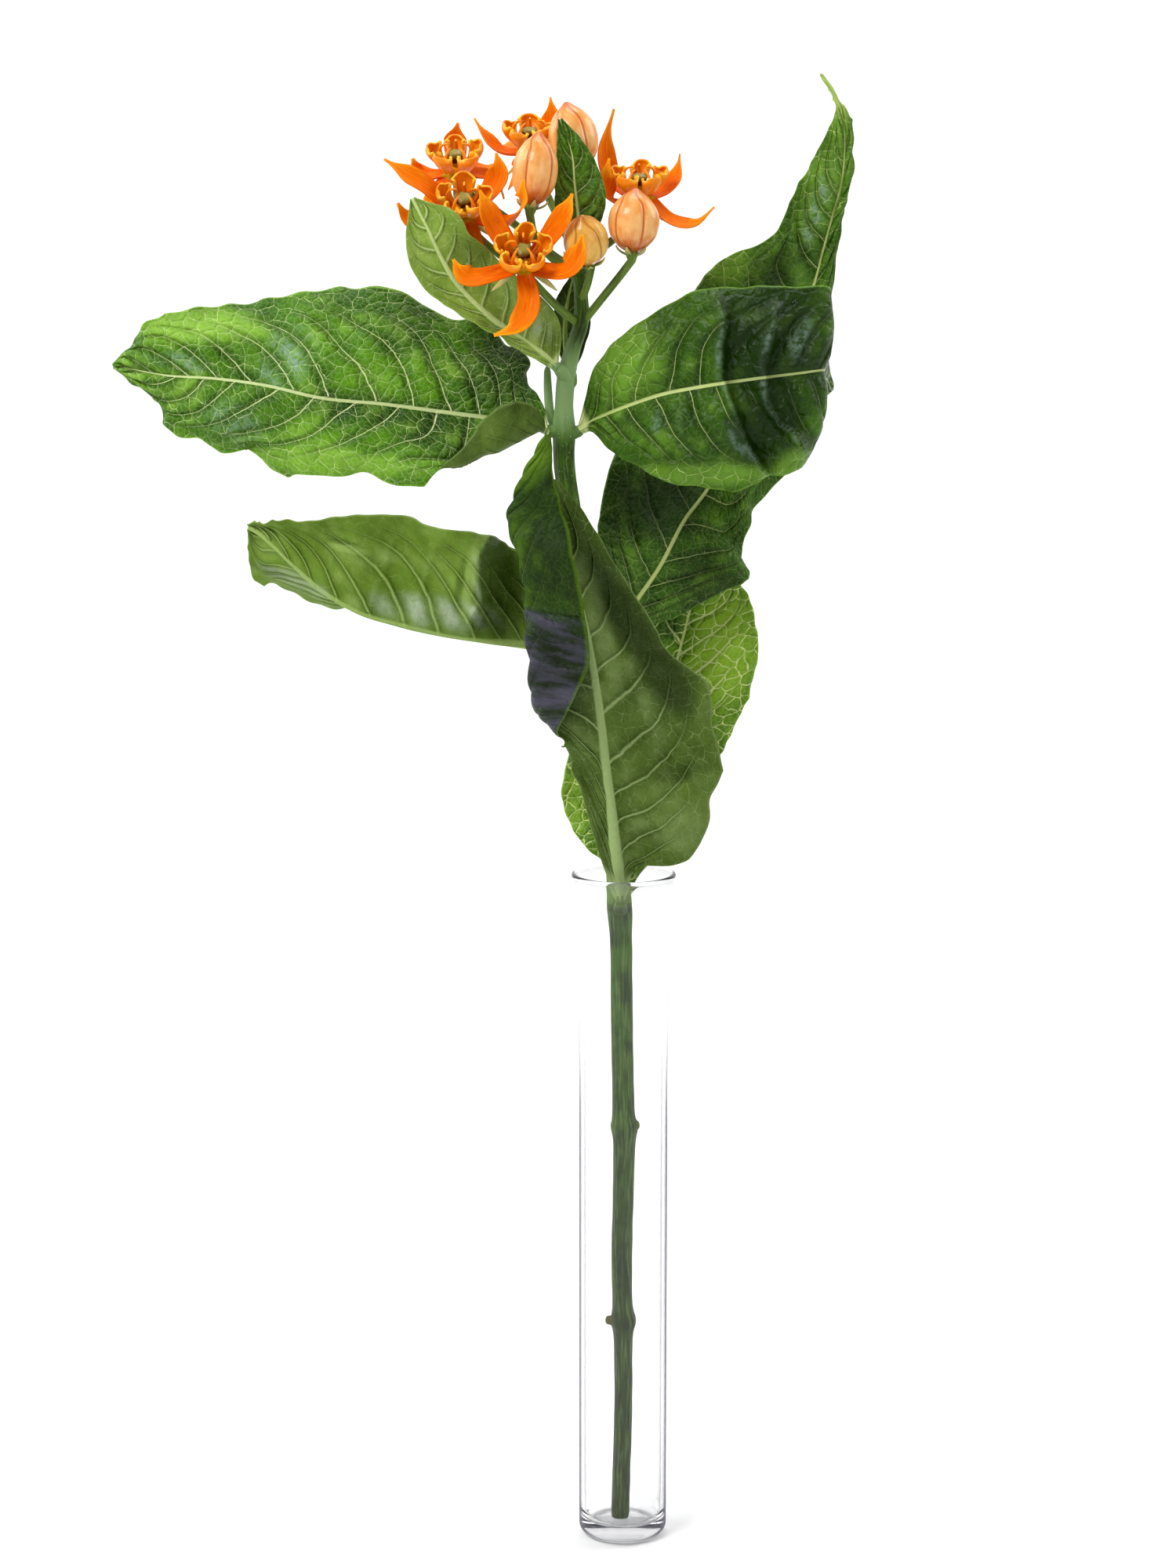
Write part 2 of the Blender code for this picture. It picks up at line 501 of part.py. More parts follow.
def leaf_grid(guides, rows, across):
    """Middle surface of a blade: rows along the midrib, across gives each column's place from -1 to 1."""
    ribs = through(rib_guides(guides), rows)
    out = np.abs(across)[None, :, None]
    left = across[None, :, None] < 0
    midrib = ribs[:, None, 2]
    edge = np.where(left, ribs[:, None, 0], ribs[:, None, 4])
    middle = np.where(left, ribs[:, None, 1], ribs[:, None, 3])
    inner = midrib * (1 - out) * (1 - 2 * out)
    return inner + middle * 4 * out * (1 - out) + edge * out * (2 * out - 1)


def grid_normals(grid):
    along, over = np.gradient(grid, axis=0), np.gradient(grid, axis=1)
    return unit(np.cross(over, along))


def make_leaf(name, guides, rows, columns):
    """A waved blade with a raised midrib beneath, running into a round petiole."""
    half = np.linspace(0, 1, columns + 1) ** 0.85
    half = np.insert(half, 1, 0.09)
    across = np.concatenate([-half[:0:-1], half])
    along = np.linspace(0, 1, rows)[:, None]
    grid = leaf_grid(guides, rows, across)
    up = grid_normals(grid)
    side = np.sign(across)[None, :]
    ripple = np.sin(2 * math.pi * guides["waves"] * along + 1.7 * side) * np.abs(across)[None, :] ** 3
    fading = ease(0.08, 0.25, along) * ease(guides["calm"] + 0.1, guides["calm"], along)
    grid = grid + up * (ripple * fading * guides["wave"] * MM)[..., None]
    stalk = 1 - ease(0.0, 1.3 / (len(guides["midrib"]) - 1), along)
    straight = unit(np.cross(grid[:, -1] - grid[:, 0], np.gradient(grid[:, len(across) // 2], axis=0)))
    up = unit(grid_normals(grid) * (1 - stalk[..., None]) + straight[:, None] * stalk[..., None])
    round_half = PETIOLE_RADIUS * np.sqrt(np.maximum(1 - across**2, 0.03))[None, :]
    half_thick = BLADE_THICK / 2 * (1 - stalk) + round_half * stalk
    ridge = MIDRIB_RELIEF * (np.abs(across) < 0.01)[None, :] * (1 - stalk) * (1 - 0.8 * along)
    upper = grid + up * (half_thick * MM)[..., None]
    lower = grid - up * ((half_thick + ridge) * MM)[..., None]
    blade(name, upper, lower, "leaf_green")


def stem_stub(name):
    """The short boss on the stem that a leaf's petiole sits on."""
    first, second = spots(LEAVES[name]["midrib"][:2])
    root = spot(*LEAF_ROOTS[name])
    end = first - unit(second - first) * STUB_GAP * MM
    heading = unit(second - first)
    path = np.array([root, end - heading * 0.5 * MM, end])
    return tube("stub_" + name, path, np.array(BOSS_RADII) * MM, 7)


def pedicel(name, way, foot, axis):
    """A flower's own stalk, widening into the cup that carries the flower."""
    places = np.vstack([spots(way), [foot - unit(axis) * 1.6 * MM]])
    path = np.vstack([through(places, len(places) + 3), [foot - unit(axis) * 0.5 * MM, foot]])
    radii = np.full(len(path), PEDICEL_RADIUS * MM)
    radii[-3:] = np.array(CUP_RADII) * MM
    return tube("pedicel_" + name, path, radii, 6)


def make_stem():
    """Stem, side stalks, leaf bosses and pedicels, grown together in one body."""
    pieces = [tube("stem_core", spots(STEM), [point[3] * MM for point in STEM], 12)]
    for name, points in SIDE_STALKS.items():
        count = 2 * len(points) - 1
        radii = through([[point[3] * MM] for point in points], count)[:, 0]
        pieces.append(tube(name, through(spots(points), count), radii, 6))
    pieces += [stem_stub(name) for name in LEAVES]
    for name, bloom in BLOOMS.items():
        foot = spot(*bloom["foot"])
        pieces.append(pedicel("bloom_" + name, bloom["pedicel"], foot, bloom["axis"]))
    for name, bud in BUDS.items():
        base, tip = spot(*bud["base"]), spot(*bud["tip"])
        pieces.append(pedicel("bud_" + name, bud["pedicel"], base, tip - base))
    fused("stem", pieces, "stem_green")


def petal(name, foot, axis, way, width):
    """A flat tongue from inside the flower's disc, widest past its middle, pointed and slightly cupped."""
    axis = unit(axis)
    root = foot + axis * PETAL_LEVEL * MM
    first = spot(*way[0])
    out = unit(first - root - axis * np.dot(first - root, axis))
    start = [root + out * reach * MM for reach in (PETAL_ROOT, PETAL_LEAVES)]
    spine = through(np.vstack([start, spots(way)]), 8)
    heading = unit(np.gradient(spine, axis=0))
    along = np.linspace(0, 1, len(spine))
    over = unit(np.cross(heading, axis + heading * 0.02))
    if np.abs(np.dot(heading[-1], axis)) > 0.9:
        over = np.repeat(unit(np.cross(out, axis))[None, :], len(spine), axis=0)
    over = unit(over - heading * np.sum(over * heading, axis=1, keepdims=True))
    face = np.cross(over, heading)
    swelling = np.sin(math.pi * np.clip(along * 0.95, 0, 1) ** 1.25)
    spread = width * MM / 2 * (PETAL_FOOT + (1 - PETAL_FOOT) * swelling)
    spread = spread * (1 - ease(PETAL_TAPER_FROM, 1.0, along) * PETAL_TAPER)
    across = np.array((-1, 0, 1))[None, :, None]
    grid = spine[:, None] + over[:, None] * spread[:, None, None] * across
    grid[:, 1] -= face * (spread * PETAL_DIP)[:, None]
    half = PETAL_THICK / 2 * MM
    return blade(name, grid + face[:, None] * half, grid - face[:, None] * half, "petal_orange")


def drum(name, foot, axis, levels, sides, finish):
    """A round body on a flower's axis through (height, radius) levels in mm."""
    axis = unit(axis)
    path = [foot + axis * height * MM for height, _ in levels]
    return tube(name, path, [radius * MM for _, radius in levels], sides, finish)


def flower_frame(axis, turn):
    axis = unit(axis)
    side = unit(np.cross(axis, (0.0, 1.0, 0.25)))
    front = np.cross(side, axis)
    angles = [2 * math.pi * (number + turn) / PETALS for number in range(PETALS)]
    return axis, [side * math.cos(angle) + front * math.sin(angle) for angle in angles]


def hood(name, foot, axis, out):
    """One scoop of the corona: it rises from the ring, leans out and curls in at its rim."""
    over = np.cross(axis, out)
    spine = through([foot + (out * reach + axis * height) * MM for reach, height in HOOD_BACK], 4)
    heading = unit(np.gradient(spine, axis=0))
    inward = unit(np.cross(heading, over))
    inward = inward if np.dot(inward[2], out) < 0 else -inward
    spread = np.array(HOOD_SPREAD) * HOOD_WIDTH / 2 * MM
    columns = [spine + over * (spread * place)[:, None] + inward * (spread * place**2 * HOOD_CURL)[:, None]
               for place in (-1, 0, 1)]
    grid = np.stack(columns, axis=1)
    half = HOOD_THICK / 2 * MM
    return blade(name, grid - inward[:, None] * half, grid + inward[:, None] * half, "corona_amber")


def make_bloom(name, bloom):
    """Petals, corona and head of one flower, each a body of its own."""
    foot = spot(*bloom["foot"])
    axis, ways = flower_frame(bloom["axis"], BLOOM_TURN)
    disc = drum(f"disc_{name}", foot, axis, ((DISC_FROM, DISC_RADIUS * 0.8), (DISC_TO, DISC_RADIUS)), 10,
                "petal_orange")
    petals = [petal(f"petal_{name}_{number}", foot, axis, way, PETAL_WIDTH)
              for number, way in enumerate(bloom["petals"])]
    fused(f"bloom_{name}_petals", [disc] + petals, "petal_orange")
    ring = drum(f"ring_{name}", foot, axis, ((CROWN_FROM, CROWN_RADIUS * 0.85), (CROWN_TO, CROWN_RADIUS)), 8,
                "corona_amber")
    scoops = [hood(f"hood_{name}_{number}", foot, axis, out) for number, out in enumerate(ways)]
    fused(f"bloom_{name}_corona", [ring] + scoops, "corona_amber")
    drum(f"bloom_{name}_head", foot, axis, HEAD_LEVELS, 10, "head_olive")


def make_bud(name, bud):
    """A closed bud: a balloon of five shallow lobes with a short point."""
    base, tip = spot(*bud["base"]), spot(*bud["tip"])
    axis = unit(tip - base)
    length = np.linalg.norm(tip - base) / MM
    side = unit(np.cross(axis, (0.0, 1.0, 0.25)))
    front = np.cross(side, axis)
    around = 3 * PETALS
    points = []
    for height, share in BUD_LEVELS:
        middle = base + axis * (SEAT_GAP + height * (length - SEAT_GAP)) * MM
        for place in range(around):
            angle = 2 * math.pi * place / around
            radius = bud["radius"] * share * (1 - BUD_SEAM * (place % 3 == 0))
            points.append(middle + (side * math.cos(angle) + front * math.sin(angle)) * radius * MM)
    solid(f"bud_{name}", points, ring_faces(len(BUD_LEVELS), around), "bud_peach")


def main():
    for old in list(bpy.data.objects):
        bpy.data.objects.remove(old)
    make_vase()
    make_stem()
    for name, guides in LEAVES.items():
        usual = LEAF_DETAIL["other" if guides["plain"] else "small"]
        make_leaf(name, guides, *LEAF_DETAIL.get(name, usual))
    for name, bloom in BLOOMS.items():
        make_bloom(name, bloom)
    for name, bud in BUDS.items():
        make_bud(name, bud)


main()
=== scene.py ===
"""Butterfly weed in a slim glass tube vase, dressed for its picture.

Metres, +Z up, origin at the centre of the vase's underside, viewer on the -Y side.
The plant's curves are given as the viewer sees them: column and row of a 1500 x 2000 picture
taken from EYE, and millimetres behind the vase's axis. spot() turns such a place into metres.
Every other size is in millimetres, unless its name or comment says otherwise.
"""

import json
import math

import bpy
import numpy as np
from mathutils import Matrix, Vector

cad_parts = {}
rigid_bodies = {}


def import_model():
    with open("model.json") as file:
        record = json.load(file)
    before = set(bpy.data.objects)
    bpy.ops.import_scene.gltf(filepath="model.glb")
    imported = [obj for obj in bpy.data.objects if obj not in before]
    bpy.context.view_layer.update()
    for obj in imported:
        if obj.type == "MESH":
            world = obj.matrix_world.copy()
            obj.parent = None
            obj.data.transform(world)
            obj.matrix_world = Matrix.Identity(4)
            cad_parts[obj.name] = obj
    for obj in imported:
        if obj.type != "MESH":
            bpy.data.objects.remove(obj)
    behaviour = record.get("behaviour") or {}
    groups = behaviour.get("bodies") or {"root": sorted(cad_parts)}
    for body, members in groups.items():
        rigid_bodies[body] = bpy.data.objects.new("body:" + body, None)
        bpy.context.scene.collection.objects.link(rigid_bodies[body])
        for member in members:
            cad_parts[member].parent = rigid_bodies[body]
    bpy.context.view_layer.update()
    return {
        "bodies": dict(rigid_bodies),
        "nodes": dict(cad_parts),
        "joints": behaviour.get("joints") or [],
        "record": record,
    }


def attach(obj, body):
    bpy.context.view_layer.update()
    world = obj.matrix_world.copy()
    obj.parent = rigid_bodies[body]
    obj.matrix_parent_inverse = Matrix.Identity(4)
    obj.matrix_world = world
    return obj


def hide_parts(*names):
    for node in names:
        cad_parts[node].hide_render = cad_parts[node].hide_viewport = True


MM = 0.001

# Viewpoint of the picture
EYE = np.array((-7.7, -750.0, 305.8)) * MM
PITCH = math.radians(10.31)
FOCAL_COLUMNS = 4526.0
PICTURE_CENTRE = (750.0, 1000.0)
LENS, SENSOR = 81.47, 36.0

# Vase
VASE_HEIGHT = 150.0
FOOT_RADIUS = 9.65
NECK_RADIUS = 10.3
LIP_RADIUS = 11.3
WALL = 1.1
BASE_THICK = 3.2
FOOT_ROUND = 2.4
INNER_ROUND = 3.2
STRAIGHT_TOP = 105.0
LIP_START = 146.6

# Plant tissue
PETIOLE_RADIUS = 1.1
MIDRIB_RELIEF = 0.9
BLADE_HALF = 0.2
SEAT_GAP = 0.32
STUB_GAP = 0.75
PEDICEL_RADIUS = 0.85

# Petals: where each leaves the flower's axis and its disc, and how high, and its width
PETALS = 5
PETAL_ROOT, PETAL_LEAVES, PETAL_LEVEL = 0.6, 2.6, 0.98
PETAL_WIDTH = 5.0
BLOOM_TURN = 0.25

# Height and radius up a flower's disc, up the ring that carries its hoods, and up its five-winged head
DISC = ((-0.25, 1.1), (0.15, 1.55), (0.7, 1.9), (1.3, 1.95), (1.55, 1.5), (1.6, 0.1))
RING = ((1.2, 1.5), (1.7, 1.85), (2.2, 2.05), (2.8, 2.0), (3.1, 1.6), (3.15, 0.1))
HEAD = (
    (2.9, 1.2), (3.3, 1.35), (4.2, 1.45), (5.1, 1.5), (5.5, 1.7), (5.8, 1.66), (6.05, 1.3),
    (6.2, 0.8), (6.22, 0.05),
)

# Reach and height along the back of a hood, from the ring at HOOD_FOOT to its top; half its width
# there, and the degrees that its sides curl round
HOOD_BACK = ((1.3, 2.0), (2.5, 2.3), (4.1, 3.1), (5.4, 4.5), (6.1, 6.0), (5.9, 7.3))
HOOD_FOOT, HOOD_RISE = 2.0, 5.4
HOOD_HALF = (0.8, 1.15, 1.6, 2.1, 2.3, 1.3)
HOOD_CURL = (50.0, 80.0, 115.0, 128.0, 105.0, 60.0)

# Least and greatest of a hood's width and height as shares, its lean in mm and its opening as a share
HOOD_LEAST, HOOD_MOST = (0.88, 0.9, -0.7, 0.85), (1.06, 1.04, 0.7, 1.15)

# Reach and height along a horn, and its radius
HORN = ((2.9, 2.6), (3.7, 4.2), (3.6, 6.0), (2.7, 7.3), (1.5, 7.7))
HORN_RADII = (0.5, 0.44, 0.36, 0.26, 0.1)

# Height and radius up a bud as shares of its length and girth, and up a drop as shares of its radius
BUD = (
    (0.0, 0.24), (0.04, 0.42), (0.1, 0.62), (0.25, 0.9), (0.45, 1.0), (0.65, 0.92), (0.83, 0.62),
    (0.94, 0.27), (1.0, 0.08),
)
DROP = ((-0.3, 0.8), (0.0, 1.0), (0.3, 0.94), (0.55, 0.76), (0.72, 0.44), (0.78, 0.04))

# Radii of a leaf's boss from the stem outwards, and of a flower's stalk at its start and at its cup
BOSS_RADII = (1.9, 1.3, 1.15, 1.02)
STALK_START = (1.15, 1.0, 0.9)
STALK_CUP = (0.9, 1.12, 1.32, 1.3)

# The stem from its cut end to the umbel: column, row, back, radius
STEM = (
    (791, 1934, -1.2, 2.0), (793, 1870, -1.1, 2.0), (795, 1800, -1.0, 2.0), (795, 1710, -0.8, 2.1),
    (795, 1685, -0.8, 2.8), (794, 1662, -0.7, 2.2), (793, 1600, -0.6, 2.3), (795, 1520, -0.4, 2.3),
    (796, 1458, -0.3, 2.45), (796, 1435, -0.3, 3.0), (795, 1412, -0.2, 2.45), (793, 1300, 0.0, 2.4),
    (792, 1200, 0.2, 2.4), (790, 1155, 0.3, 2.75), (787, 1110, 0.4, 2.4), (775, 980, 0.5, 2.3),
    (763, 880, 0.5, 2.25), (755, 830, 0.4, 2.55), (748, 785, 0.3, 2.25), (736, 700, 0.1, 2.2),
    (721, 600, 0.0, 2.2), (720, 550, 0.0, 2.35), (720, 515, 0.0, 1.9), (723, 478, 0.0, 1.9),
    (731, 445, 0.1, 1.6), (741, 412, 0.3, 1.6), (741, 375, 0.6, 1.45), (738, 338, 1.0, 1.35),
)

# Slim side stalks that stay one piece with the stem
SIDE_STALKS = {
    "axil_shoot": ((711, 556, 1.2, 1.0), (702, 528, 2.2, 0.95), (699, 500, 2.9, 0.9), (698, 466, 3.4, 0.7)),
    "old_bud_low": ((789, 1684, -0.8, 1.2), (775, 1683, -1.0, 0.95)),
    "old_bud_high": ((800, 1436, -0.3, 1.3), (813, 1434, -0.6, 1.0)),
}


def leaf(midrib, left, right, arch=0.08, left_fold=None, right_fold=None,
         wave=0.5, waves=6.0, calm=0.9, plain=1):
    """One leaf's guides, base to tip, left and right as seen from above with the tip ahead.
    Its margin waves up to the share of the length that calm gives."""
    return {
        "midrib": midrib, "left": left, "right": right, "arch": arch,
        "left_fold": left_fold or {}, "right_fold": right_fold or {},
        "wave": wave, "waves": waves, "calm": calm, "plain": plain,
    }


LEAVES = {
    "leaf_upper_left": leaf(
        midrib=((695, 547, -0.8), (683, 542, -1.6), (655, 537, -2.5), (615, 532, -4.0), (560, 525, -5.0),
                (490, 516, -6.0), (410, 508, -6.0), (340, 492, -4.5), (275, 483, -2.5), (215, 479, 0.5),
                (170, 471, 3.5), (146, 467, 6.0)),
        left=((699, 554, -0.5), (693, 533, -6.0), (672, 514, -11.5), (632, 521, -14.5), (588, 572, -13.5),
              (522, 617, -10.5), (430, 607, -7.5), (356, 599, -5.0), (284, 578, -3.0), (218, 545, 0.0),
              (176, 494, 3.0), (147, 470, 6.0)),
        right=((698, 540, -0.5), (694, 520, 0.5), (676, 486, 2.5), (662, 447, 4.5), (622, 420, 6.0),
               (545, 382, 6.5), (458, 367, 6.0), (370, 381, 4.5), (285, 391, 2.5), (208, 399, 1.5),
               (174, 432, 3.5), (145, 463, 6.0)),
        left_fold={1: (690, 549, -4.6), 2: (666, 558, -8.5), 3: (624, 572, -10.5), 4: (583, 592, -10.5)},
        wave=0.7, waves=8.0),
    "leaf_lower_left": leaf(
        midrib=((732, 830, -1.3), (706, 827, -3.0), (672, 823, -4.0), (640, 819, -4.5), (605, 814, -5.5),
                (560, 807, -6.5), (510, 797, -7.0), (460, 782, -6.0), (415, 756, -4.0), (380, 726, -2.0),
                (350, 697, 0.5), (331, 681, 2.0), (317, 673, 3.0)),
        left=((735, 823, -1.2), (706, 790, -2.5), (674, 718, -1.0), (648, 694, -0.5), (616, 680, -8.0),
              (572, 676, -10.0), (520, 662, -8.5), (470, 656, -7.0), (420, 661, -5.0), (378, 665, -3.0),
              (345, 662, -1.0), (326, 666, 1.0), (315, 669, 3.0)),
        right=((733, 837, -1.2), (708, 829, 2.5), (676, 815, 7.0), (645, 806, 8.5), (610, 799, 9.0),
               (562, 790, 9.5), (512, 783, 9.0), (455, 777, 7.5), (398, 765, 6.5), (352, 748, 6.0),
               (324, 740, 5.5), (317, 706, 4.5), (316, 677, 3.2)),
        left_fold={3: (641, 765, -3.0), 4: (604, 742, -11.0), 5: (566, 742, -10.5)},
        wave=0.6, waves=7.0),
    "leaf_front": leaf(
        midrib=((791, 1146, -4.4), (789, 1115, -6.3), (785, 1080, -8.0), (780, 1030, -10.5),
                (773, 980, -13.0), (766, 920, -15.5), (757, 860, -17.5), (748, 810, -18.5),
                (735, 760, -19.0), (718, 710, -19.0), (697, 665, -18.5), (682, 630, -19.0),
                (688, 600, -20.5), (695, 574, -20.5), (700, 548, -20.0)),
        left=((797, 1146, -4.4), (812, 1110, -5.0), (858, 1103, -5.0), (890, 1080, -6.0), (914, 1020, -7.5),
              (918, 955, -9.0), (902, 872, -11.0), (868, 838, -12.5), (832, 792, -13.5), (795, 736, -14.0),
              (757, 676, -14.0), (718, 615, -14.5), (676, 603, -18.5), (687, 572, -20.0), (699, 546, -20.0)),
        right=((785, 1146, -4.4), (767, 1098, -6.5), (754, 1055, -8.5), (738, 1000, -11.5), (724, 958, -15.0),
               (712, 936, -20.5), (735, 886, -26.0), (751, 848, -27.5), (748, 800, -28.0), (739, 742, -27.5),
               (727, 682, -26.0), (713, 640, -24.5), (705, 603, -22.5), (704, 574, -21.0), (702, 547, -20.0)),
        right_fold={5: (715, 925, -16.5), 6: (684, 878, -21.5), 7: (674, 825, -23.5), 8: (670, 772, -24.0),
                    9: (662, 715, -23.5), 10: (652, 668, -22.5), 11: (660, 632, -22.0), 12: (674, 602, -22.0),
                    13: (687, 573, -21.0)},
        wave=0.5, waves=7.0),
    "leaf_back": leaf(
        midrib=((796, 1144, 4.9), (800, 1116, 6.6), (806, 1080, 10.0), (817, 1030, 13.5), (828, 980, 16.5),
                (840, 930, 19.5), (853, 880, 22.0), (867, 830, 24.0), (880, 780, 25.5), (893, 735, 27.5),
                (905, 695, 30.0)),
        left=((790, 1144, 4.9), (784, 1112, 6.5), (750, 1082, 10.5), (723, 1045, 13.5), (718, 995, 16.5),
              (735, 930, 19.0), (760, 868, 21.5), (790, 810, 23.5), (825, 757, 25.5), (862, 716, 27.5),
              (902, 695, 30.0)),
        right=((802, 1144, 4.9), (817, 1114, 6.8), (862, 1068, 11.0), (895, 1015, 14.5), (918, 965, 17.0),
               (940, 922, 19.0), (958, 880, 21.0), (966, 825, 22.5), (961, 780, 25.0), (940, 738, 27.5),
               (908, 695, 30.0)),
        wave=0.6, waves=7.0),
    "leaf_upper_right": leaf(
        midrib=((742, 547, -1.1), (762, 534, -3.4), (800, 518, -8.0), (845, 503, -11.5), (890, 494, -14.5),
                (935, 487, -16.5), (980, 481, -18.0), (1020, 476, -18.5), (1049, 472, -16.5),
                (1050, 474, -8.0), (1053, 482, 0.5), (1060, 494, 8.0)),
        left=((741, 541, -1.1), (748, 504, -3.0), (760, 464, -5.0), (800, 424, -7.0), (850, 391, -9.5),
              (905, 368, -12.0), (962, 365, -13.5), (1015, 366, -14.5), (1054, 367, -13.0), (1048, 395, -6.0),
              (1046, 440, 1.5), (1062, 491, 8.0)),
        right=((744, 553, -1.1), (757, 552, -4.2), (783, 578, -7.5), (828, 604, -10.5), (880, 620, -13.5),
               (932, 627, -16.0), (975, 615, -17.5), (1006, 603, -18.0), (1026, 592, -16.0),
               (1030, 560, -8.0), (1038, 525, 0.5), (1060, 498, 8.0)),
        wave=0.6, waves=6.0, calm=0.55),
    "leaf_long": leaf(
        midrib=((775, 820, 2.4), (793, 792, 6.0), (818, 757, 11.0), (843, 720, 15.0), (872, 665, 19.0),
                (905, 620, 22.0), (945, 550, 24.0), (980, 490, 25.0), (1012, 425, 25.0), (1037, 366, 24.0),
                (1050, 318, 22.5), (1062, 274, 21.0), (1072, 238, 19.5), (1077, 200, 17.5), (1076, 160, 15.5),
                (1066, 126, 13.5), (1048, 95, 12.0)),
        left=((770, 816, 2.4), (773, 772, 5.5), (763, 715, 10.0), (763, 672, 13.5), (771, 622, 17.0),
              (790, 565, 19.5), (830, 480, 21.5), (866, 415, 23.0), (890, 366, 23.5), (916, 334, 22.5),
              (982, 303, 21.0), (1003, 268, 19.5), (1022, 228, 18.0), (1043, 191, 17.0), (1063, 150, 15.5),
              (1061, 120, 13.5), (1046, 94, 12.0)),
        right=((780, 824, 2.4), (809, 803, 7.0), (862, 787, 11.5), (924, 754, 15.0), (952, 738, 17.5),
               (944, 700, 20.0), (961, 652, 22.5), (1004, 595, 24.5), (1032, 505, 25.5), (1058, 400, 25.0),
               (1066, 325, 23.5), (1075, 268, 22.0), (1081, 228, 20.5), (1087, 188, 18.5), (1084, 155, 16.0),
               (1071, 125, 14.0), (1050, 96, 12.0)),
        wave=0.7, waves=9.0),
    "leaf_small_left": leaf(
        midrib=((708, 466, -2.6), (690, 451, -3.6), (660, 430, -4.0), (620, 400, -5.2), (585, 365, -6.2),
                (562, 327, -7.0), (545, 290, -7.2), (526, 253, -6.0)),
        left=((713, 461, -2.6), (716, 425, -1.6), (706, 396, -1.6), (672, 362, -2.5), (634, 330, -4.2),
              (605, 302, -7.6), (580, 270, -9.0), (529, 252, -6.2)),
        right=((704, 471, -2.6), (684, 459, -4.8), (648, 440, -6.0), (607, 414, -7.0), (566, 390, -7.5),
               (537, 362, -7.0), (518, 318, -6.9), (523, 254, -6.0)),
        wave=0.3, waves=4.0, plain=0),
    "leaf_small_right": leaf(
        midrib=((727, 472, 3.4), (723, 450, 4.6), (721, 420, 5.5), (724, 385, 6.5), (732, 350, 7.0)),
        left=((732, 472, 3.4), (744, 448, 4.9), (753, 415, 6.0), (748, 375, 7.0), (734, 350, 7.0)),
        right=((722, 472, 3.4), (713, 448, 4.9), (707, 415, 6.5), (710, 380, 7.0), (729, 350, 7.0)),
        wave=0.2, waves=3.0, plain=0),
    "leaf_top": leaf(
        midrib=((735, 322, -1.1), (738, 298, 0.0), (737, 272, 0.8), (733, 235, 1.1), (729, 195, 1.0),
                (714, 152, 0.8)),
        left=((730, 322, -1.1), (720, 297, 0.2), (708, 266, 0.6), (707, 232, 0.7), (710, 190, 0.6),
              (712, 152, 0.8)),
        right=((740, 322, -1.1), (758, 300, 0.2), (771, 266, 0.6), (769, 230, 0.7), (749, 188, 0.5),
               (717, 151, 0.8)),
        wave=0.3, waves=4.0, plain=0),
}

# Where each leaf's stub leaves the stem: column, row, back
LEAF_ROOTS = {
    "leaf_upper_left": (719, 551, 0.0),
    "leaf_lower_left": (756, 832, 0.4),
    "leaf_front": (791, 1164, 0.3),
    "leaf_back": (791, 1164, 0.3),
    "leaf_upper_right": (720, 554, 0.0),
    "leaf_long": (755, 838, 0.4),
    "leaf_small_left": (723, 482, 0.0),
    "leaf_small_right": (725, 486, 0.1),
    "leaf_top": (738, 345, 0.8),
}

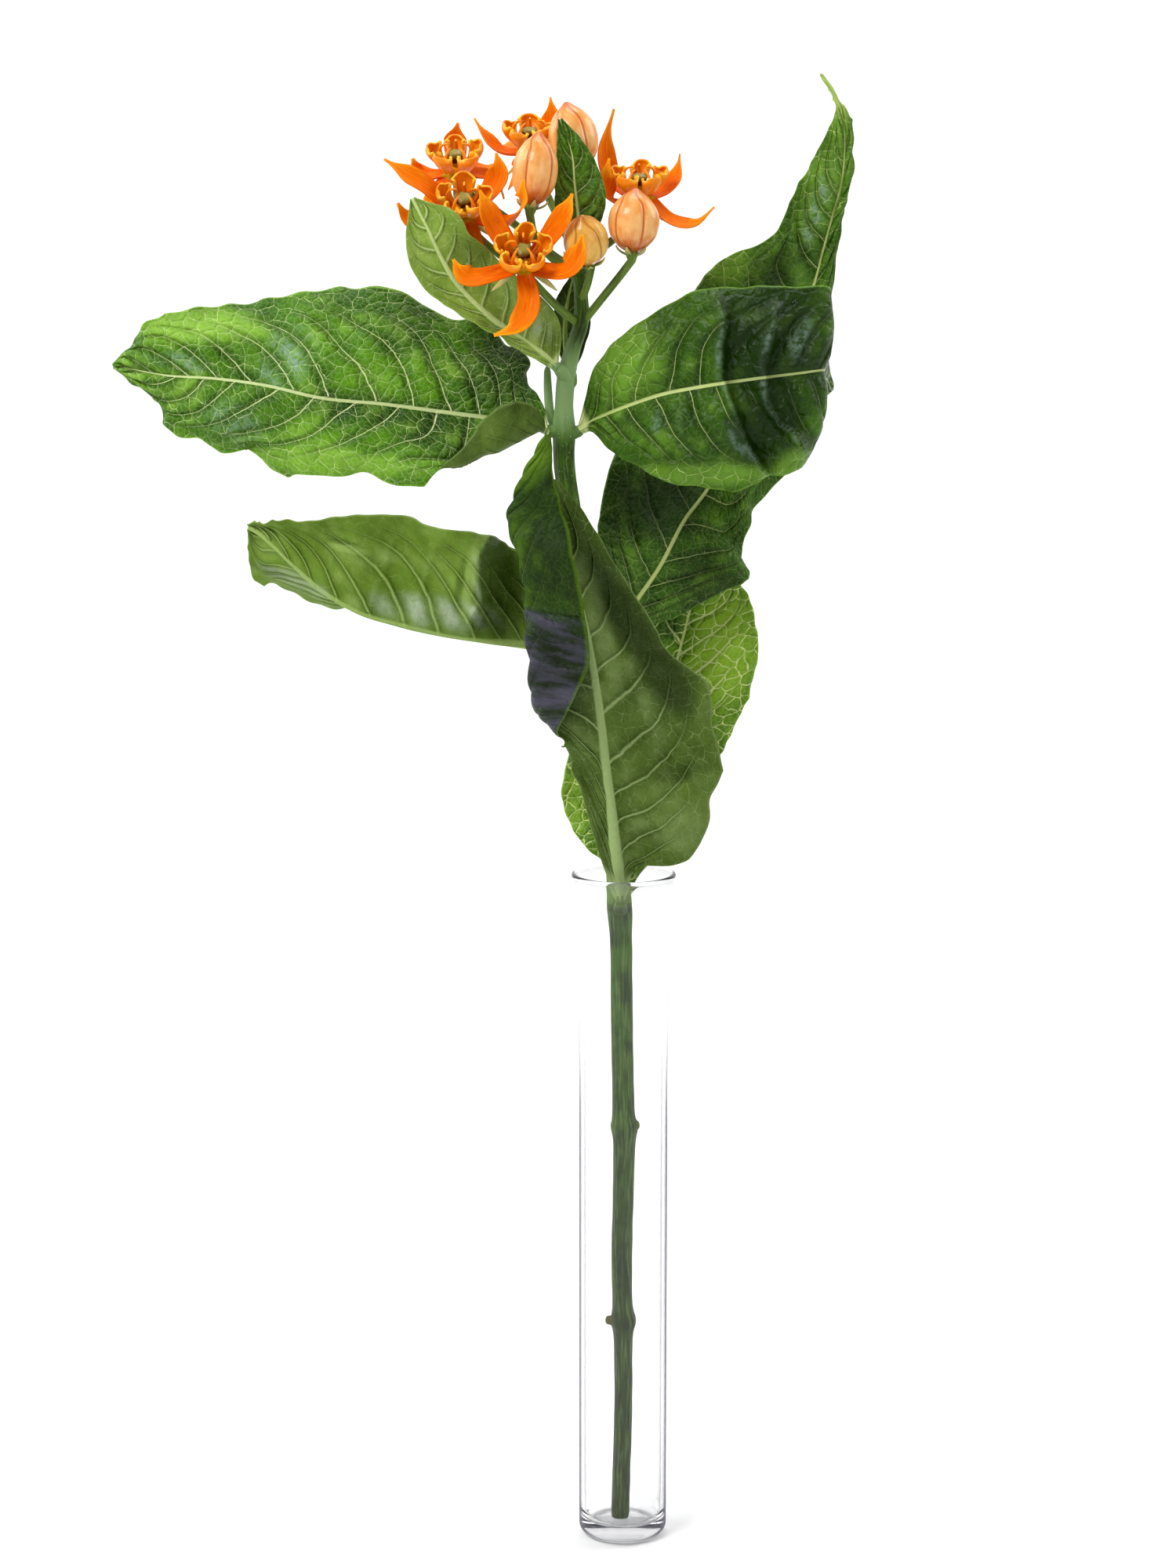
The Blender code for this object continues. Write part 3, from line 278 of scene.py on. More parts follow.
# Each bloom: top of its pedicel, its axis, the pedicel's way from the stem, and where its petals pass and end
BLOOMS = {
    "front": {
        "foot": (668, 340, -9.0), "axis": (0.0, -0.77, 0.64),
        "pedicel": ((738, 412, 0.2), (716, 396, -2.0), (690, 370, -5.2)),
        "petals": (
            ((608, 353, -14.0), (588, 346, -14.5), (578, 331, -13.5)),
            ((674, 388, -15.5), (657, 416, -17.5), (630, 428, -17.0)),
            ((718, 345, -14.5), (737, 322, -15.2), (743, 299, -14.5)),
            ((637, 296, -7.9), (622, 266, -8.9), (612, 243, -9.0)),
            ((705, 294, -9.5), (721, 268, -11.2), (730, 247, -11.0)),
        ),
    },
    "left": {
        "foot": (593, 277, 1.0), "axis": (0.0, -0.70, 0.71),
        "pedicel": ((738, 350, 1.0), (705, 348, 4.5), (662, 340, 5.0), (622, 313, 4.0)),
        "petals": (
            ((543, 235, -0.5), (514, 218, -1.5), (490, 203, -2.5)),
            ((545, 286, 1.5), (520, 277, 1.5), (507, 259, 1.0)),
            ((645, 283, -2.4), (663, 258, -9.0), (668, 229, -9.8)),
            ((626, 240, 2.0), (636, 217, 2.0), (633, 195, 2.5)),
            ((603, 316, 1.5), (596, 338, 1.5), (578, 352, 1.5)),
        ),
    },
    "far_left": {
        "foot": (582, 226, 9.0), "axis": (0.0, -0.50, 0.87),
        "pedicel": ((738, 345, 1.5), (705, 325, 9.0), (655, 285, 10.5), (608, 252, 10.5)),
        "petals": (
            ((581, 190, 14.5), (581, 173, 14.0), (584, 157, 12.5)),
            ((546, 222, 9.0), (532, 214, 8.5), (526, 202, 8.5)),
            ((622, 222, 9.0), (638, 236, 8.0), (643, 254, 8.5)),
            ((556, 250, 6.0), (548, 262, 6.5), (546, 276, 7.5)),
            ((608, 213, 16.5), (618, 208, 19.5), (622, 212, 22.5)),
        ),
    },
    "back": {
        "foot": (676, 199, 15.0), "axis": (0.0, -0.34, 0.94),
        "pedicel": ((738, 340, 1.5), (722, 300, 11.0), (696, 245, 16.0)),
        "petals": (
            ((640, 190, 14.0), (620, 172, 13.5), (605, 151, 13.0)),
            ((697, 172, 19.5), (704, 148, 19.0), (702, 124, 18.0)),
            ((712, 205, 17.5), (726, 214, 19.0), (732, 230, 20.0)),
            ((664, 214, 11.0), (656, 228, 11.3), (648, 242, 12.0)),
            ((654, 184, 22.5), (644, 182, 25.5), (636, 190, 28.0)),
        ),
    },
    "right": {
        "foot": (816, 258, 8.5), "axis": (-0.02, -0.34, 0.94),
        "pedicel": ((738, 345, 1.5), (762, 322, 6.5), (798, 292, 9.0)),
        "petals": (
            ((781, 226, 13.0), (773, 184, 12.0), (783, 139, 11.0)),
            ((785, 254, 4.8), (773, 230, 4.5), (777, 202, 5.5)),
            ((850, 240, 10.5), (863, 220, 10.5), (867, 196, 10.0)),
            ((855, 278, 5.8), (886, 284, 4.0), (911, 264, 3.5)),
            ((823, 243, 16.5), (831, 246, 20.0), (836, 258, 22.5)),
        ),
    },
}

# Each bud: base, tip, greatest radius, and the pedicel's way from the stem
BUDS = {
    "left": {"base": (677, 264, -3.5), "tip": (688, 168, -3.0), "radius": 4.75,
             "pedicel": ((738, 345, 0.8), (705, 330, 0.5), (682, 300, -2.2))},
    "top": {"base": (740, 218, 8.0), "tip": (722, 130, 7.5), "radius": 5.2,
            "pedicel": ((738, 345, 1.2), (740, 300, 6.0), (741, 250, 7.8))},
    "front": {"base": (752, 336, -4.0), "tip": (742, 275, -10.0), "radius": 4.7,
              "pedicel": ((741, 385, 0.4), (749, 363, -1.8))},
    "right": {"base": (806, 323, -3.0), "tip": (811, 240, -3.5), "radius": 5.35,
              "pedicel": ((743, 412, 0.2), (762, 388, -1.2), (790, 353, -2.6))},
}


def spot(column, row, back):
    """World place seen at a column and row of the picture, back millimetres behind the vase's axis."""
    across = (column - PICTURE_CENTRE[0]) / FOCAL_COLUMNS
    rise = (PICTURE_CENTRE[1] - row) / FOCAL_COLUMNS
    forward = math.cos(PITCH) + rise * math.sin(PITCH)
    upward = rise * math.cos(PITCH) - math.sin(PITCH)
    ray = np.array((across, forward, upward))
    return EYE + ray * ((back * MM - EYE[1]) / ray[1])


def spots(points):
    return np.array([spot(*point[:3]) for point in points])


def unit(vectors):
    vectors = np.asarray(vectors, float)
    return vectors / np.maximum(np.linalg.norm(vectors, axis=-1, keepdims=True), 1e-12)


def through(points, count):
    """count places on a smooth curve through the points, evenly spread by point number."""
    points = np.asarray(points, float)
    padded = np.concatenate([2 * points[:1] - points[1:2], points, 2 * points[-1:] - points[-2:-1]])
    at = np.linspace(0, len(points) - 1, count)
    start = np.minimum(at.astype(int), len(points) - 2)
    part = (at - start).reshape((-1,) + (1,) * (points.ndim - 1))
    a, b, c, d = (padded[start + step] for step in range(4))
    bend = (2 * a - 5 * b + 4 * c - d) * part**2 + (3 * b - a - 3 * c + d) * part**3
    return 0.5 * (2 * b + (c - a) * part + bend)


def eased(values, count):
    """count numbers on a smooth curve through the values."""
    return through(np.reshape(values, (-1, 1)), count)[:, 0]


def turns(sides):
    return 2 * math.pi * np.arange(sides) / sides


def ease(low, high, value):
    step = np.clip((value - low) / (high - low), 0, 1)
    return step * step * (3 - 2 * step)


def seen(points):
    """Column and row at which the picture shows world places."""
    away = np.asarray(points, float) - EYE
    depth = away[..., 1] * math.cos(PITCH) - away[..., 2] * math.sin(PITCH)
    rise = away[..., 1] * math.sin(PITCH) + away[..., 2] * math.cos(PITCH)
    column = PICTURE_CENTRE[0] + FOCAL_COLUMNS * away[..., 0] / depth
    return column, PICTURE_CENTRE[1] - FOCAL_COLUMNS * rise / depth


def past_fold(points, line):
    """How far each place is past a line of pixels that runs down the picture, and if it is beside it."""
    column, row = seen(points)
    columns, rows = np.transpose(line)
    past = column - np.interp(row, rows, columns)
    return past, ease(rows[0] - 14, rows[0] + 12, row) * ease(rows[-1] + 14, rows[-1] - 12, row)


def painted_shading_patches(points, patches, folds):
    """Painted shade, pale colour with painted light, and painted sheen for each place of a leaf, from soft
    oval patches on it.
    One kind of patch has firm edges and paints a silvery reflection. A fold paints a highlight on its crest
    and shade in the hollow past it."""
    column, row = seen(points)
    total = np.zeros(points.shape)
    # Each patch paints shade (deep), lighter colour that is mostly painted light, or sheen into one of three
    # channels
    for kind, middle_column, middle_row, wide, high, turn, strength in patches:
        lean = math.radians(turn)
        first = (column - middle_column) * math.cos(lean) + (row - middle_row) * math.sin(lean)
        second = (row - middle_row) * math.cos(lean) - (column - middle_column) * math.sin(lean)
        far = np.sqrt((first / wide) ** 2 + (second / high) ** 2)
        if kind == "sheet":
            far = np.maximum(np.abs(first / wide), np.abs(second / high))
            total[..., 2] += strength * ease(1.1, 0.95, far)
        else:
            total[..., ("deep", "pale_and_painted_light", "silver").index(kind)] += strength * ease(1.25, 0.35, far)
    # Each raised fold paints shade into the hollow past it and a highlight onto its crest
    for line, _, steep, height in folds:
        past, inside = past_fold(points, line)
        strength = max(height, 0.0) / 3.0 * inside
        hollow = ease(-1.0, 2.0, past) * np.exp(-np.maximum(past, 0) / (3.0 * steep))
        crest = np.exp(-(((past + 3.5) / 3.5) ** 2))
        total[..., 0] += 0.7 * strength * hollow
        total[..., 2] += 0.4 * strength * crest
    return np.clip(total, 0, 1)


def creases(points, folds):
    """How far each place is drawn towards the viewer, in mm, by folds that run down the picture:
    soft on their left, steep on their right."""
    total = np.zeros(points.shape[:-1])
    for line, soft, steep, height in folds:
        past, inside = past_fold(points, line)
        total += height * inside * np.exp(np.where(past < 0, past / soft, -past / steep))
    return total


def lengths(points, axis):
    """Distance travelled along an axis of a grid of points, in mm."""
    steps = np.linalg.norm(np.diff(points, axis=axis), axis=-1) / MM
    start = np.zeros_like(np.take(steps, [0], axis=axis))
    return np.cumsum(np.concatenate([start, steps], axis=axis), axis=axis)


def swell(first, second, wave, seed):
    """Soft random hills over two coordinates, about one high, with the given wavelength."""
    draw = np.random.default_rng(seed)
    total = 0.0
    for _ in range(5):
        turn, shift = draw.uniform(0, 2 * math.pi), draw.uniform(0, 2 * math.pi)
        stretch = draw.uniform(0.7, 1.5)
        along = first * math.cos(turn) + second * math.sin(turn)
        total = total + np.sin(2 * math.pi * along / (wave * stretch) + shift) / 2.5
    return total


def piece(name, skin, finishes, node):
    """A smooth mesh that rides with the vase, stands for a node, and carries marks for its finish to read."""
    mesh = bpy.data.meshes.new(name)
    points = np.reshape(skin["points"], (-1, 3))
    corners = np.concatenate([face.ravel() for face in skin["faces"]]).astype(np.int32)
    totals = np.concatenate([np.full(len(face), face.shape[1], np.int32) for face in skin["faces"]])
    mesh.vertices.add(len(points))
    mesh.vertices.foreach_set("co", points.astype(np.float32).ravel())
    mesh.loops.add(len(corners))
    mesh.loops.foreach_set("vertex_index", corners)
    mesh.polygons.add(len(totals))
    mesh.polygons.foreach_set("loop_start", np.concatenate([[0], np.cumsum(totals)[:-1]]).astype(np.int32))
    mesh.polygons.foreach_set("loop_total", totals)
    mesh.polygons.foreach_set("use_smooth", np.ones(len(totals), bool))
    slots = np.broadcast_to(skin.get("slots", 0), (len(totals),))
    mesh.polygons.foreach_set("material_index", slots.astype(np.int32))
    for mark, values in skin["marks"].items():
        layer = mesh.attributes.new(mark, "FLOAT_VECTOR", "POINT")
        layer.data.foreach_set("vector", np.asarray(values, np.float32).ravel())
    mesh.update(calc_edges=True)
    for finish in finishes:
        mesh.materials.append(finish)
    made = bpy.data.objects.new(name, mesh)
    bpy.context.scene.collection.objects.link(made)
    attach(made, "root")
    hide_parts(node)
    return made


def band(rows, around, start=0, closed=True):
    """Quads between rings that follow each other."""
    ring = np.arange(around if closed else around - 1)
    here = start + np.arange(rows - 1)[:, None] * around
    a, b = here + ring, here + (ring + 1) % around
    return np.stack([a, b, b + around, a + around], axis=-1).reshape(-1, 4)


def outward(points, faces):
    """The faces of a closed skin, turned to point out."""
    points = np.asarray(points, float).reshape(-1, 3)
    middle = points.mean(axis=0)
    volume = 0.0
    for face in faces:
        corners = points[face] - middle
        for place in range(1, face.shape[1] - 1):
            cross = np.cross(corners[:, place], corners[:, place + 1])
            volume += float(np.sum(corners[:, 0] * cross))
    return faces if volume > 0 else [face[:, ::-1] for face in faces]


def joined(skins):
    """Several skins as one."""
    start, points, faces, slots = 0, [], [], []
    for skin in skins:
        faces += [face + start for face in skin["faces"]]
        total = sum(len(face) for face in skin["faces"])
        slots.append(np.broadcast_to(skin.get("slots", 0), (total,)))
        points.append(skin["points"].reshape(-1, 3))
        start += len(points[-1])
    marks = {mark: np.concatenate([np.reshape(skin["marks"][mark], (-1, 3)) for skin in skins])
             for mark in skins[0]["marks"]}
    return {"points": np.concatenate(points), "faces": faces, "slots": np.concatenate(slots), "marks": marks}


def sheet_skin(upper, lower, marks, slots=(0, 1)):
    """A closed thin blade between two grids of points, its faces split in upper and lower finishes."""
    rows, columns = upper.shape[:2]
    ring = np.concatenate([upper, lower[:, ::-1]], axis=1)
    around = 2 * columns
    sides = band(rows, around)
    under = np.tile(np.arange(around) >= columns - 1, rows - 1)
    place = np.arange(columns - 1)
    caps = []
    for start in (0, (rows - 1) * around):
        quad = np.stack([start + place, start + around - 1 - place, start + around - 2 - place,
                         start + place + 1], axis=-1)
        caps.append(quad if start == 0 else quad[:, ::-1])
    doubled = {mark: np.concatenate([values, values[:, ::-1]], axis=1).reshape(-1, 3)
               for mark, values in marks.items()}
    faces = outward(ring, [sides] + caps)
    kinds = np.concatenate([np.where(under, slots[1], slots[0]), np.full(2 * len(place), slots[1])])
    return {"points": ring.reshape(-1, 3), "faces": faces, "marks": doubled, "slots": kinds}


def grid_mark(*columns):
    """Three numbers for each place of a grid, as one mark."""
    return np.stack(np.broadcast_arrays(*columns), axis=-1)


def ringed_skin(rings, mark):
    """A closed skin through rings of places, with flat ends."""
    rows, sides = rings.shape[:2]
    ends = [np.arange(sides)[None, ::-1], (rows - 1) * sides + np.arange(sides)[None]]
    faces = outward(rings, [band(rows, sides)] + ends)
    return {"points": rings.reshape(-1, 3), "faces": faces, "marks": {"place": mark.reshape(-1, 3)}}


def round_skin(path, radii, sides, shape=None):
    """A closed rod along a path; its mark holds its share of the way, its turn and the length in mm."""
    path = np.asarray(path, float)
    heading = unit(np.gradient(path, axis=0))
    across = unit(np.cross(heading[0], (0.31, 0.93, 0.18)))
    angles = turns(sides)
    shape = np.ones((len(path), sides)) if shape is None else shape
    rings = []
    for place, ahead, radius, size in zip(path, heading, radii, shape):
        across = unit(across - ahead * np.dot(across, ahead))
        other = np.cross(ahead, across)
        spokes = across * np.cos(angles)[:, None] + other * np.sin(angles)[:, None]
        rings.append(place + spokes * radius * size[:, None])
    along = np.linspace(0, 1, len(path))[:, None]
    return ringed_skin(np.array(rings), grid_mark(along, angles / (2 * math.pi), lengths(path, 0)[:, None]))


def axes_round(axis):
    """An axis and two directions square to it and to each other."""
    axis = unit(axis)
    side = unit(np.cross(axis, (0.0, 1.0, 0.25)))
    return axis, side, np.cross(side, axis)


def lathe_skin(foot, axis, levels, sides, lobes=1.0):
    """A turned form on an axis through (height, radius) levels in mm. lobes gives shares of the radius."""
    axis, side, front = axes_round(axis)
    angles = turns(sides)
    levels = np.asarray(levels, float)
    spokes = side * np.cos(angles)[:, None] + front * np.sin(angles)[:, None]
    radius = levels[:, 1, None] * np.ones(sides) * lobes
    points = foot + (levels[:, 0, None, None] * axis + spokes * radius[..., None]) * MM
    share = (levels[:, 0] - levels[0, 0]) / (levels[-1, 0] - levels[0, 0])
    return ringed_skin(points, grid_mark(share[:, None], angles / (2 * math.pi), radius))


def rib_guides(guides):
    """Left edge, left middle, midrib, right middle and right edge at each station."""
    midrib, left, right = (spots(guides[key]) for key in ("midrib", "left", "right"))
    heading, side = unit(midrib[1] - midrib[0]), right[0] - left[0]
    side = unit(side - heading * np.dot(side, heading)) * PETIOLE_RADIUS * MM
    left[0], right[0] = midrib[0] - side, midrib[0] + side
    up = unit(np.cross(right - left, np.gradient(midrib, axis=0)))
    ribs = []
    for edge, folds in ((left, guides["left_fold"]), (right, guides["right_fold"])):
        width = np.linalg.norm(edge - midrib, axis=1, keepdims=True)
        middle = (midrib + edge) / 2 + up * width * guides["arch"]
        for station, place in folds.items():
            middle[station] = spot(*place)
        ribs.append((edge, middle))
    (left, left_middle), (right, right_middle) = ribs
    return np.stack([left, left_middle, midrib, right_middle, right], axis=1)


def grid_normals(grid):
    along, over = np.gradient(grid, axis=0), np.gradient(grid, axis=1)
    return unit(np.cross(over, along))


def leaf_grid(guides, rows, across):
    """Middle surface of a blade: rows along the midrib, and each column's place across it, -1 to 1."""
    ribs = through(rib_guides(guides), rows)
    out = np.abs(across)[None, :, None]
    left = across[None, :, None] < 0
    edge = np.where(left, ribs[:, None, 0], ribs[:, None, 4])
    middle = np.where(left, ribs[:, None, 1], ribs[:, None, 3])
    midrib = ribs[:, None, 2]
    return midrib * (1 - out) * (1 - 2 * out) + middle * 4 * out * (1 - out) + edge * out * (2 * out - 1)


def bent_margin(grid, out, bends):
    """The grid with its margin drawn out to a point, or sunk in a soft bay, at places of the picture."""
    middle = grid.shape[1] // 2
    for bend_column, bend_row, wide, depth in bends:
        column, row = seen(grid)
        near = (np.hypot(column - bend_column, row - bend_row) / wide) ** (1 if depth > 0 else 2)
        near = np.exp(-near) * ease(0.5, 1.0, out)
        grid = grid + unit(grid - grid[:, middle:middle + 1]) * (depth * MM * near)[..., None]
    return grid


def waved_margin(grid, guides, along, out, side, seed):
    """The grid with the broad wave and the finer frill of its margin."""
    fade = ease(0.08, 0.25, along) * ease(guides["calm"] + 0.1, guides["calm"], along)
    ripple = np.sin(2 * math.pi * guides["waves"] * along + 1.7 * side) * out**3
    frill = np.sin(2 * math.pi * 2.6 * guides["waves"] * along + 0.9 * side + seed) * out**7
    return grid + grid_normals(grid) * ((ripple + 0.45 * frill) * guides["wave"] * MM * fade)[..., None]


def leaf_skin(guides, rows, columns, seed, veins, quilt=0.8, hills=0.7, wide_rib=1.0, patches=(), folds=(),
              bends=()):
    """A waved blade: the surface swells between its side veins, its midrib stands out beneath and it
    is channelled above, and it runs into a round petiole."""
    half = np.linspace(0, 1, columns + 1) ** 1.1
    across = np.concatenate([-half[:0:-1], half])
    along = np.linspace(0, 1, rows)[:, None]
    out, side = np.abs(across)[None, :], np.sign(across)[None, :]
    grid = bent_margin(leaf_grid(guides, rows, across), out, bends)
    grid = waved_margin(grid, guides, along, out, side, seed)
    middle = len(across) // 2
    up = grid_normals(grid)
    wide = lengths(grid, 1)
    wide = wide - wide[:, middle:middle + 1]
    far = lengths(grid[:, middle], 0)[:, None] + 0 * wide
    length = far[-1, 0]
    reach = np.maximum(np.abs(wide[:, [0]]), np.abs(wide[:, [-1]]))
    slope = float(reach.max() / length)
    jitter = 0.18 * swell(far, wide, 26.0, seed) + 0.4 * (side > 0)
    phase = veins * ((along - 0.05) / 0.95 - slope * 0.5 * out - 0.16 * out**4) + jitter
    to_middle = np.abs(phase - np.round(phase))
    bulge = np.sin(math.pi * to_middle) ** 0.7
    bulge = bulge * ease(0.04, 0.22, out) * ease(0.95, 0.5, out) * ease(0.05, 0.2, along)
    bulge = bulge * np.clip(0.55 + 0.6 * swell(far, wide, 30.0, seed + 3), 0.1, 1.2)
    rolling = swell(far, wide, 17.0, seed + 1) + 0.35 * swell(far, wide, 8.0, seed + 2)
    rolling = rolling * ease(0.0, 0.35, out)
    bulge = bulge * quilt + hills * rolling * ease(0.08, 0.25, along) * ease(1.0, 0.9, along)
    grid = grid + up * (bulge * MM)[..., None]
    grid = grid + unit(EYE - grid) * (creases(grid, folds) * MM)[..., None]
    stalk = 1 - ease(0.0, 1.3 / (len(guides["midrib"]) - 1), along)
    straight = unit(np.cross(grid[:, -1] - grid[:, 0], np.gradient(grid[:, middle], axis=0)))
    up = unit(grid_normals(grid) * (1 - stalk[..., None]) + straight[:, None] * stalk[..., None])
    round_half = PETIOLE_RADIUS * np.sqrt(np.maximum(1 - across**2, 0.03))[None, :]
    half_thick = BLADE_HALF * (1 - 0.6 * out**8) * (1 - stalk) + round_half * stalk
    rib_width = (1.25 * wide_rib - 0.95 * wide_rib * along) * (1 - stalk) + 0.4 * stalk
    rib = np.exp(-(wide / np.maximum(rib_width, 0.22)) ** 2) * (1 - stalk)
    below = rib * (1.05 - 0.85 * along) * MIDRIB_RELIEF * wide_rib
    above = rib * 0.12
    upper = grid + up * ((half_thick - above) * MM)[..., None]
    lower = grid - up * ((half_thick + below) * MM)[..., None]
    spacing = length / veins * 0.85
    marks = {
        "plane": grid_mark(far, wide, 10.0 * seed),
        "ribs": grid_mark(phase, spacing, rib_width),
        "place": grid_mark(along, out, side),
        "painted_shading": painted_shading_patches(grid, patches, folds),
    }
    return sheet_skin(upper, lower, marks)


def stub_path(name, into=1.3):
    """The boss that a leaf sits on, reaching into its petiole."""
    first, second = spots(LEAVES[name]["midrib"][:2])
    heading = unit(second - first)
    root = spot(*LEAF_ROOTS[name])
    end = first - heading * STUB_GAP * MM
    path = through([root, end - heading * 0.5 * MM, end, first + heading * into * MM], 10)
    return path, eased(BOSS_RADII, 10) * MM


def stalk_path(way, foot, axis, into=0.5):
    """A flower's own stalk, widening into the cup that carries the flower."""
    axis = unit(axis)
    places = np.vstack([spots(way), [foot - axis * 1.6 * MM]])
    cup = [foot - axis * 0.9 * MM, foot - axis * 0.3 * MM, foot + axis * into * MM]
    path = np.vstack([through(places, 24), cup])
    radii = np.full(len(path), PEDICEL_RADIUS * MM)
    radii[-4:] = np.array(STALK_CUP) * MM
    radii[:3] = np.array(STALK_START) * MM
    return path, radii


def petal_skin(foot, axis, way, width, seed):
    """A tongue from the flower's disc, widest past its middle, pointed, cupped and a little frilled."""
    axis = unit(axis)
    root = foot + axis * PETAL_LEVEL * MM
    first = spot(*way[0])
    out = unit(first - root - axis * np.dot(first - root, axis))
    start = [root + out * reach * MM for reach in (PETAL_ROOT, PETAL_LEAVES)]
    spine = through(np.vstack([start, spots(way)]), 34)
    heading = unit(np.gradient(spine, axis=0))
    along = np.linspace(0, 1, len(spine))
    over = unit(np.cross(heading, axis + heading * 0.02))
    if np.abs(np.dot(heading[-1], axis)) > 0.9:
        over = np.repeat(unit(np.cross(out, axis))[None, :], len(spine), axis=0)
    over = unit(over - heading * np.sum(over * heading, axis=1, keepdims=True))
    face = np.cross(over, heading)
    spread = width * MM / 2 * (0.34 + 0.66 * np.sin(math.pi * np.clip(along * 0.95, 0, 1) ** 1.25))
    spread = spread * (1 - ease(0.66, 1.0, along) * 0.74)
    across = np.linspace(-1, 1, 13)
    dip = spread[:, None] * 0.3 * (1 - across**2)[None, :]
    frill = 0.16 * MM * np.sin(2 * math.pi * 2.3 * along + seed)[:, None] * across[None, :] ** 3
    keel = 0.1 * MM * np.exp(-(across / 0.16) ** 2)[None, :] * (1 - along)[:, None]
    grid = spine[:, None] + over[:, None] * spread[:, None, None] * across[None, :, None]
    grid = grid - face[:, None] * (dip + frill - keel)[..., None]
    thick = MM * (0.26 - 0.12 * along)[:, None] * (1 - 0.55 * across**6)[None, :]
    half = face[:, None] * thick[..., None]
    far = lengths(spine, 0)[:, None]
    marks = {
        "plane": grid_mark(far, across * spread[:, None] / MM, 7.0 * seed),
        "place": grid_mark(along[:, None], np.abs(across), far),
    }
    return sheet_skin(grid + half, grid - half, marks, (0, 0))


def flower_frame(axis, turn):
    """A flower's axis and the way out from it to each of its five parts."""
    axis, side, front = axes_round(axis)
    angles = [2 * math.pi * (number + turn) / PETALS for number in range(PETALS)]
    return axis, [side * math.cos(angle) + front * math.sin(angle) for angle in angles]


def hood_skin(foot, axis, out, draw):
    """One scoop of the corona: a deep gutter that leans out from the ring and rolls in at its lips."""
    over = np.cross(axis, out)
    wide, tall, lean, open_lip = draw.uniform(HOOD_LEAST, HOOD_MOST)
    stretch = 1 + (wide - 1) * 0.6
    places = []
    for reach, height in HOOD_BACK:
        rise = height - HOOD_FOOT
        sway = over * lean * (rise / HOOD_RISE) ** 2
        places.append(foot + (out * reach * stretch + axis * (HOOD_FOOT + rise * tall) + sway) * MM)
    spine = through(places, 22)
    heading = unit(np.gradient(spine, axis=0))
    inward = unit(np.cross(heading, over))
    inward = inward if np.dot(inward[8], out) < 0 else -inward
    along = np.linspace(0, 1, len(spine))
    spread = eased(HOOD_HALF, len(spine)) * MM * wide
    curl = np.radians(eased(HOOD_CURL, len(spine)) * open_lip)
    across = np.linspace(-1, 1, 15)
    angle = curl[:, None] * across[None, :]
    size = spread / np.maximum(np.sin(np.minimum(curl, math.pi / 2)), 0.4)
    grid = spine[:, None] + over * (np.sin(angle) * size[:, None])[..., None]
    grid = grid + inward[:, None] * ((1 - np.cos(angle)) * size[:, None] * 0.8)[..., None]
    lip = np.abs(across[None, :]) ** 4 * np.sin(math.pi * along)[:, None]
    grid = grid + heading[:, None] * (lip * 0.7 * MM)[..., None]
    frill = np.sin(14 * along + 9 * lean)[:, None] * across[None, :] ** 4 * along[:, None]
    grid = grid + grid_normals(grid) * (0.16 * MM * frill)[..., None]
    half = grid_normals(grid) * (MM * 0.17 * (1 + 0.4 * np.abs(across) ** 6)[None, :, None])
    marks = {"place": grid_mark(along[:, None], np.abs(across), lengths(spine, 0)[:, None])}
    return sheet_skin(grid + half, grid - half, marks, (0, 0))


def horn_skin(foot, axis, out):
    """The slender horn inside a hood, arching over the head."""
    path = through([foot + (out * reach + axis * height) * MM for reach, height in HORN], 18)
    return round_skin(path, eased(HORN_RADII, 18) * MM, 8)


def bud_skin(base, tip, radius, turn):
    """A closed bud of five plump petals that meet in sunk seams, drawn to a short twisted point."""
    length = np.linalg.norm(tip - base) / MM
    sides = 120
    curve = through(BUD, 64)
    share = curve[:, 0]
    twist = 0.5 * ease(0.75, 1.0, share)[:, None]
    around = (turns(sides)[None, :] - twist - turn) * PETALS / (2 * math.pi)
    apart = np.abs(around - np.round(around)) * 2 * math.pi / PETALS
    past_seam = (around - np.floor(around)) * 2 * math.pi / PETALS
    seam = np.exp(-(apart / 0.07) ** 2)
    overlap = np.exp(-((past_seam - 0.17) / 0.06) ** 2)
    deep = np.sin(math.pi * np.clip(share, 0.04, 0.98))[:, None]
    plump = 0.03 * np.sin(np.minimum(apart * PETALS, math.pi) / 2)
    lobes = 0.972 + plump - 0.05 * seam * deep + 0.012 * overlap * deep
    levels = np.stack([SEAT_GAP + share * (length - SEAT_GAP), curve[:, 1] * radius], axis=-1)
    skin = lathe_skin(base, unit(tip - base), levels, sides, lobes)
    mark = grid_mark(share[:, None], apart * curve[:, [1]] * radius, around)
    skin["marks"]["seam"] = mark.reshape(-1, 3)
    return skin


def sepal_skin(foot, axis, out, length, width, lift, curl=0.0):
    """A narrow green scale at the foot of a flower or bud. lift turns it away from the stalk."""
    over = np.cross(axis, out)
    along = np.linspace(0, 1, 14)
    bend = math.radians(lift) + curl * along**2
    step = length / (len(along) - 1)
    reach = 1.15 + np.concatenate([[0], np.cumsum(np.cos(bend[:-1]) * step)])
    height = -0.25 + np.concatenate([[0], np.cumsum(np.sin(bend[:-1]) * step)])
    spine = foot + (out * reach[:, None] + axis * height[:, None]) * MM
    across = np.linspace(-1, 1, 5)
    spread = width / 2 * MM * (0.7 + 0.6 * np.sin(math.pi * along * 0.6)) * (1 - along**2.5 * 0.93)
    grid = spine[:, None] + over * (spread[:, None] * across)[..., None]
    face = grid_normals(grid)
    grid = grid + face * (spread[:, None] * 0.3 * across**2)[..., None]
    half = face * 0.13 * MM
    marks = {"place": grid_mark(along[:, None], np.abs(across), along[:, None])}
    return sheet_skin(grid + half, grid - half, marks, (0, 0))


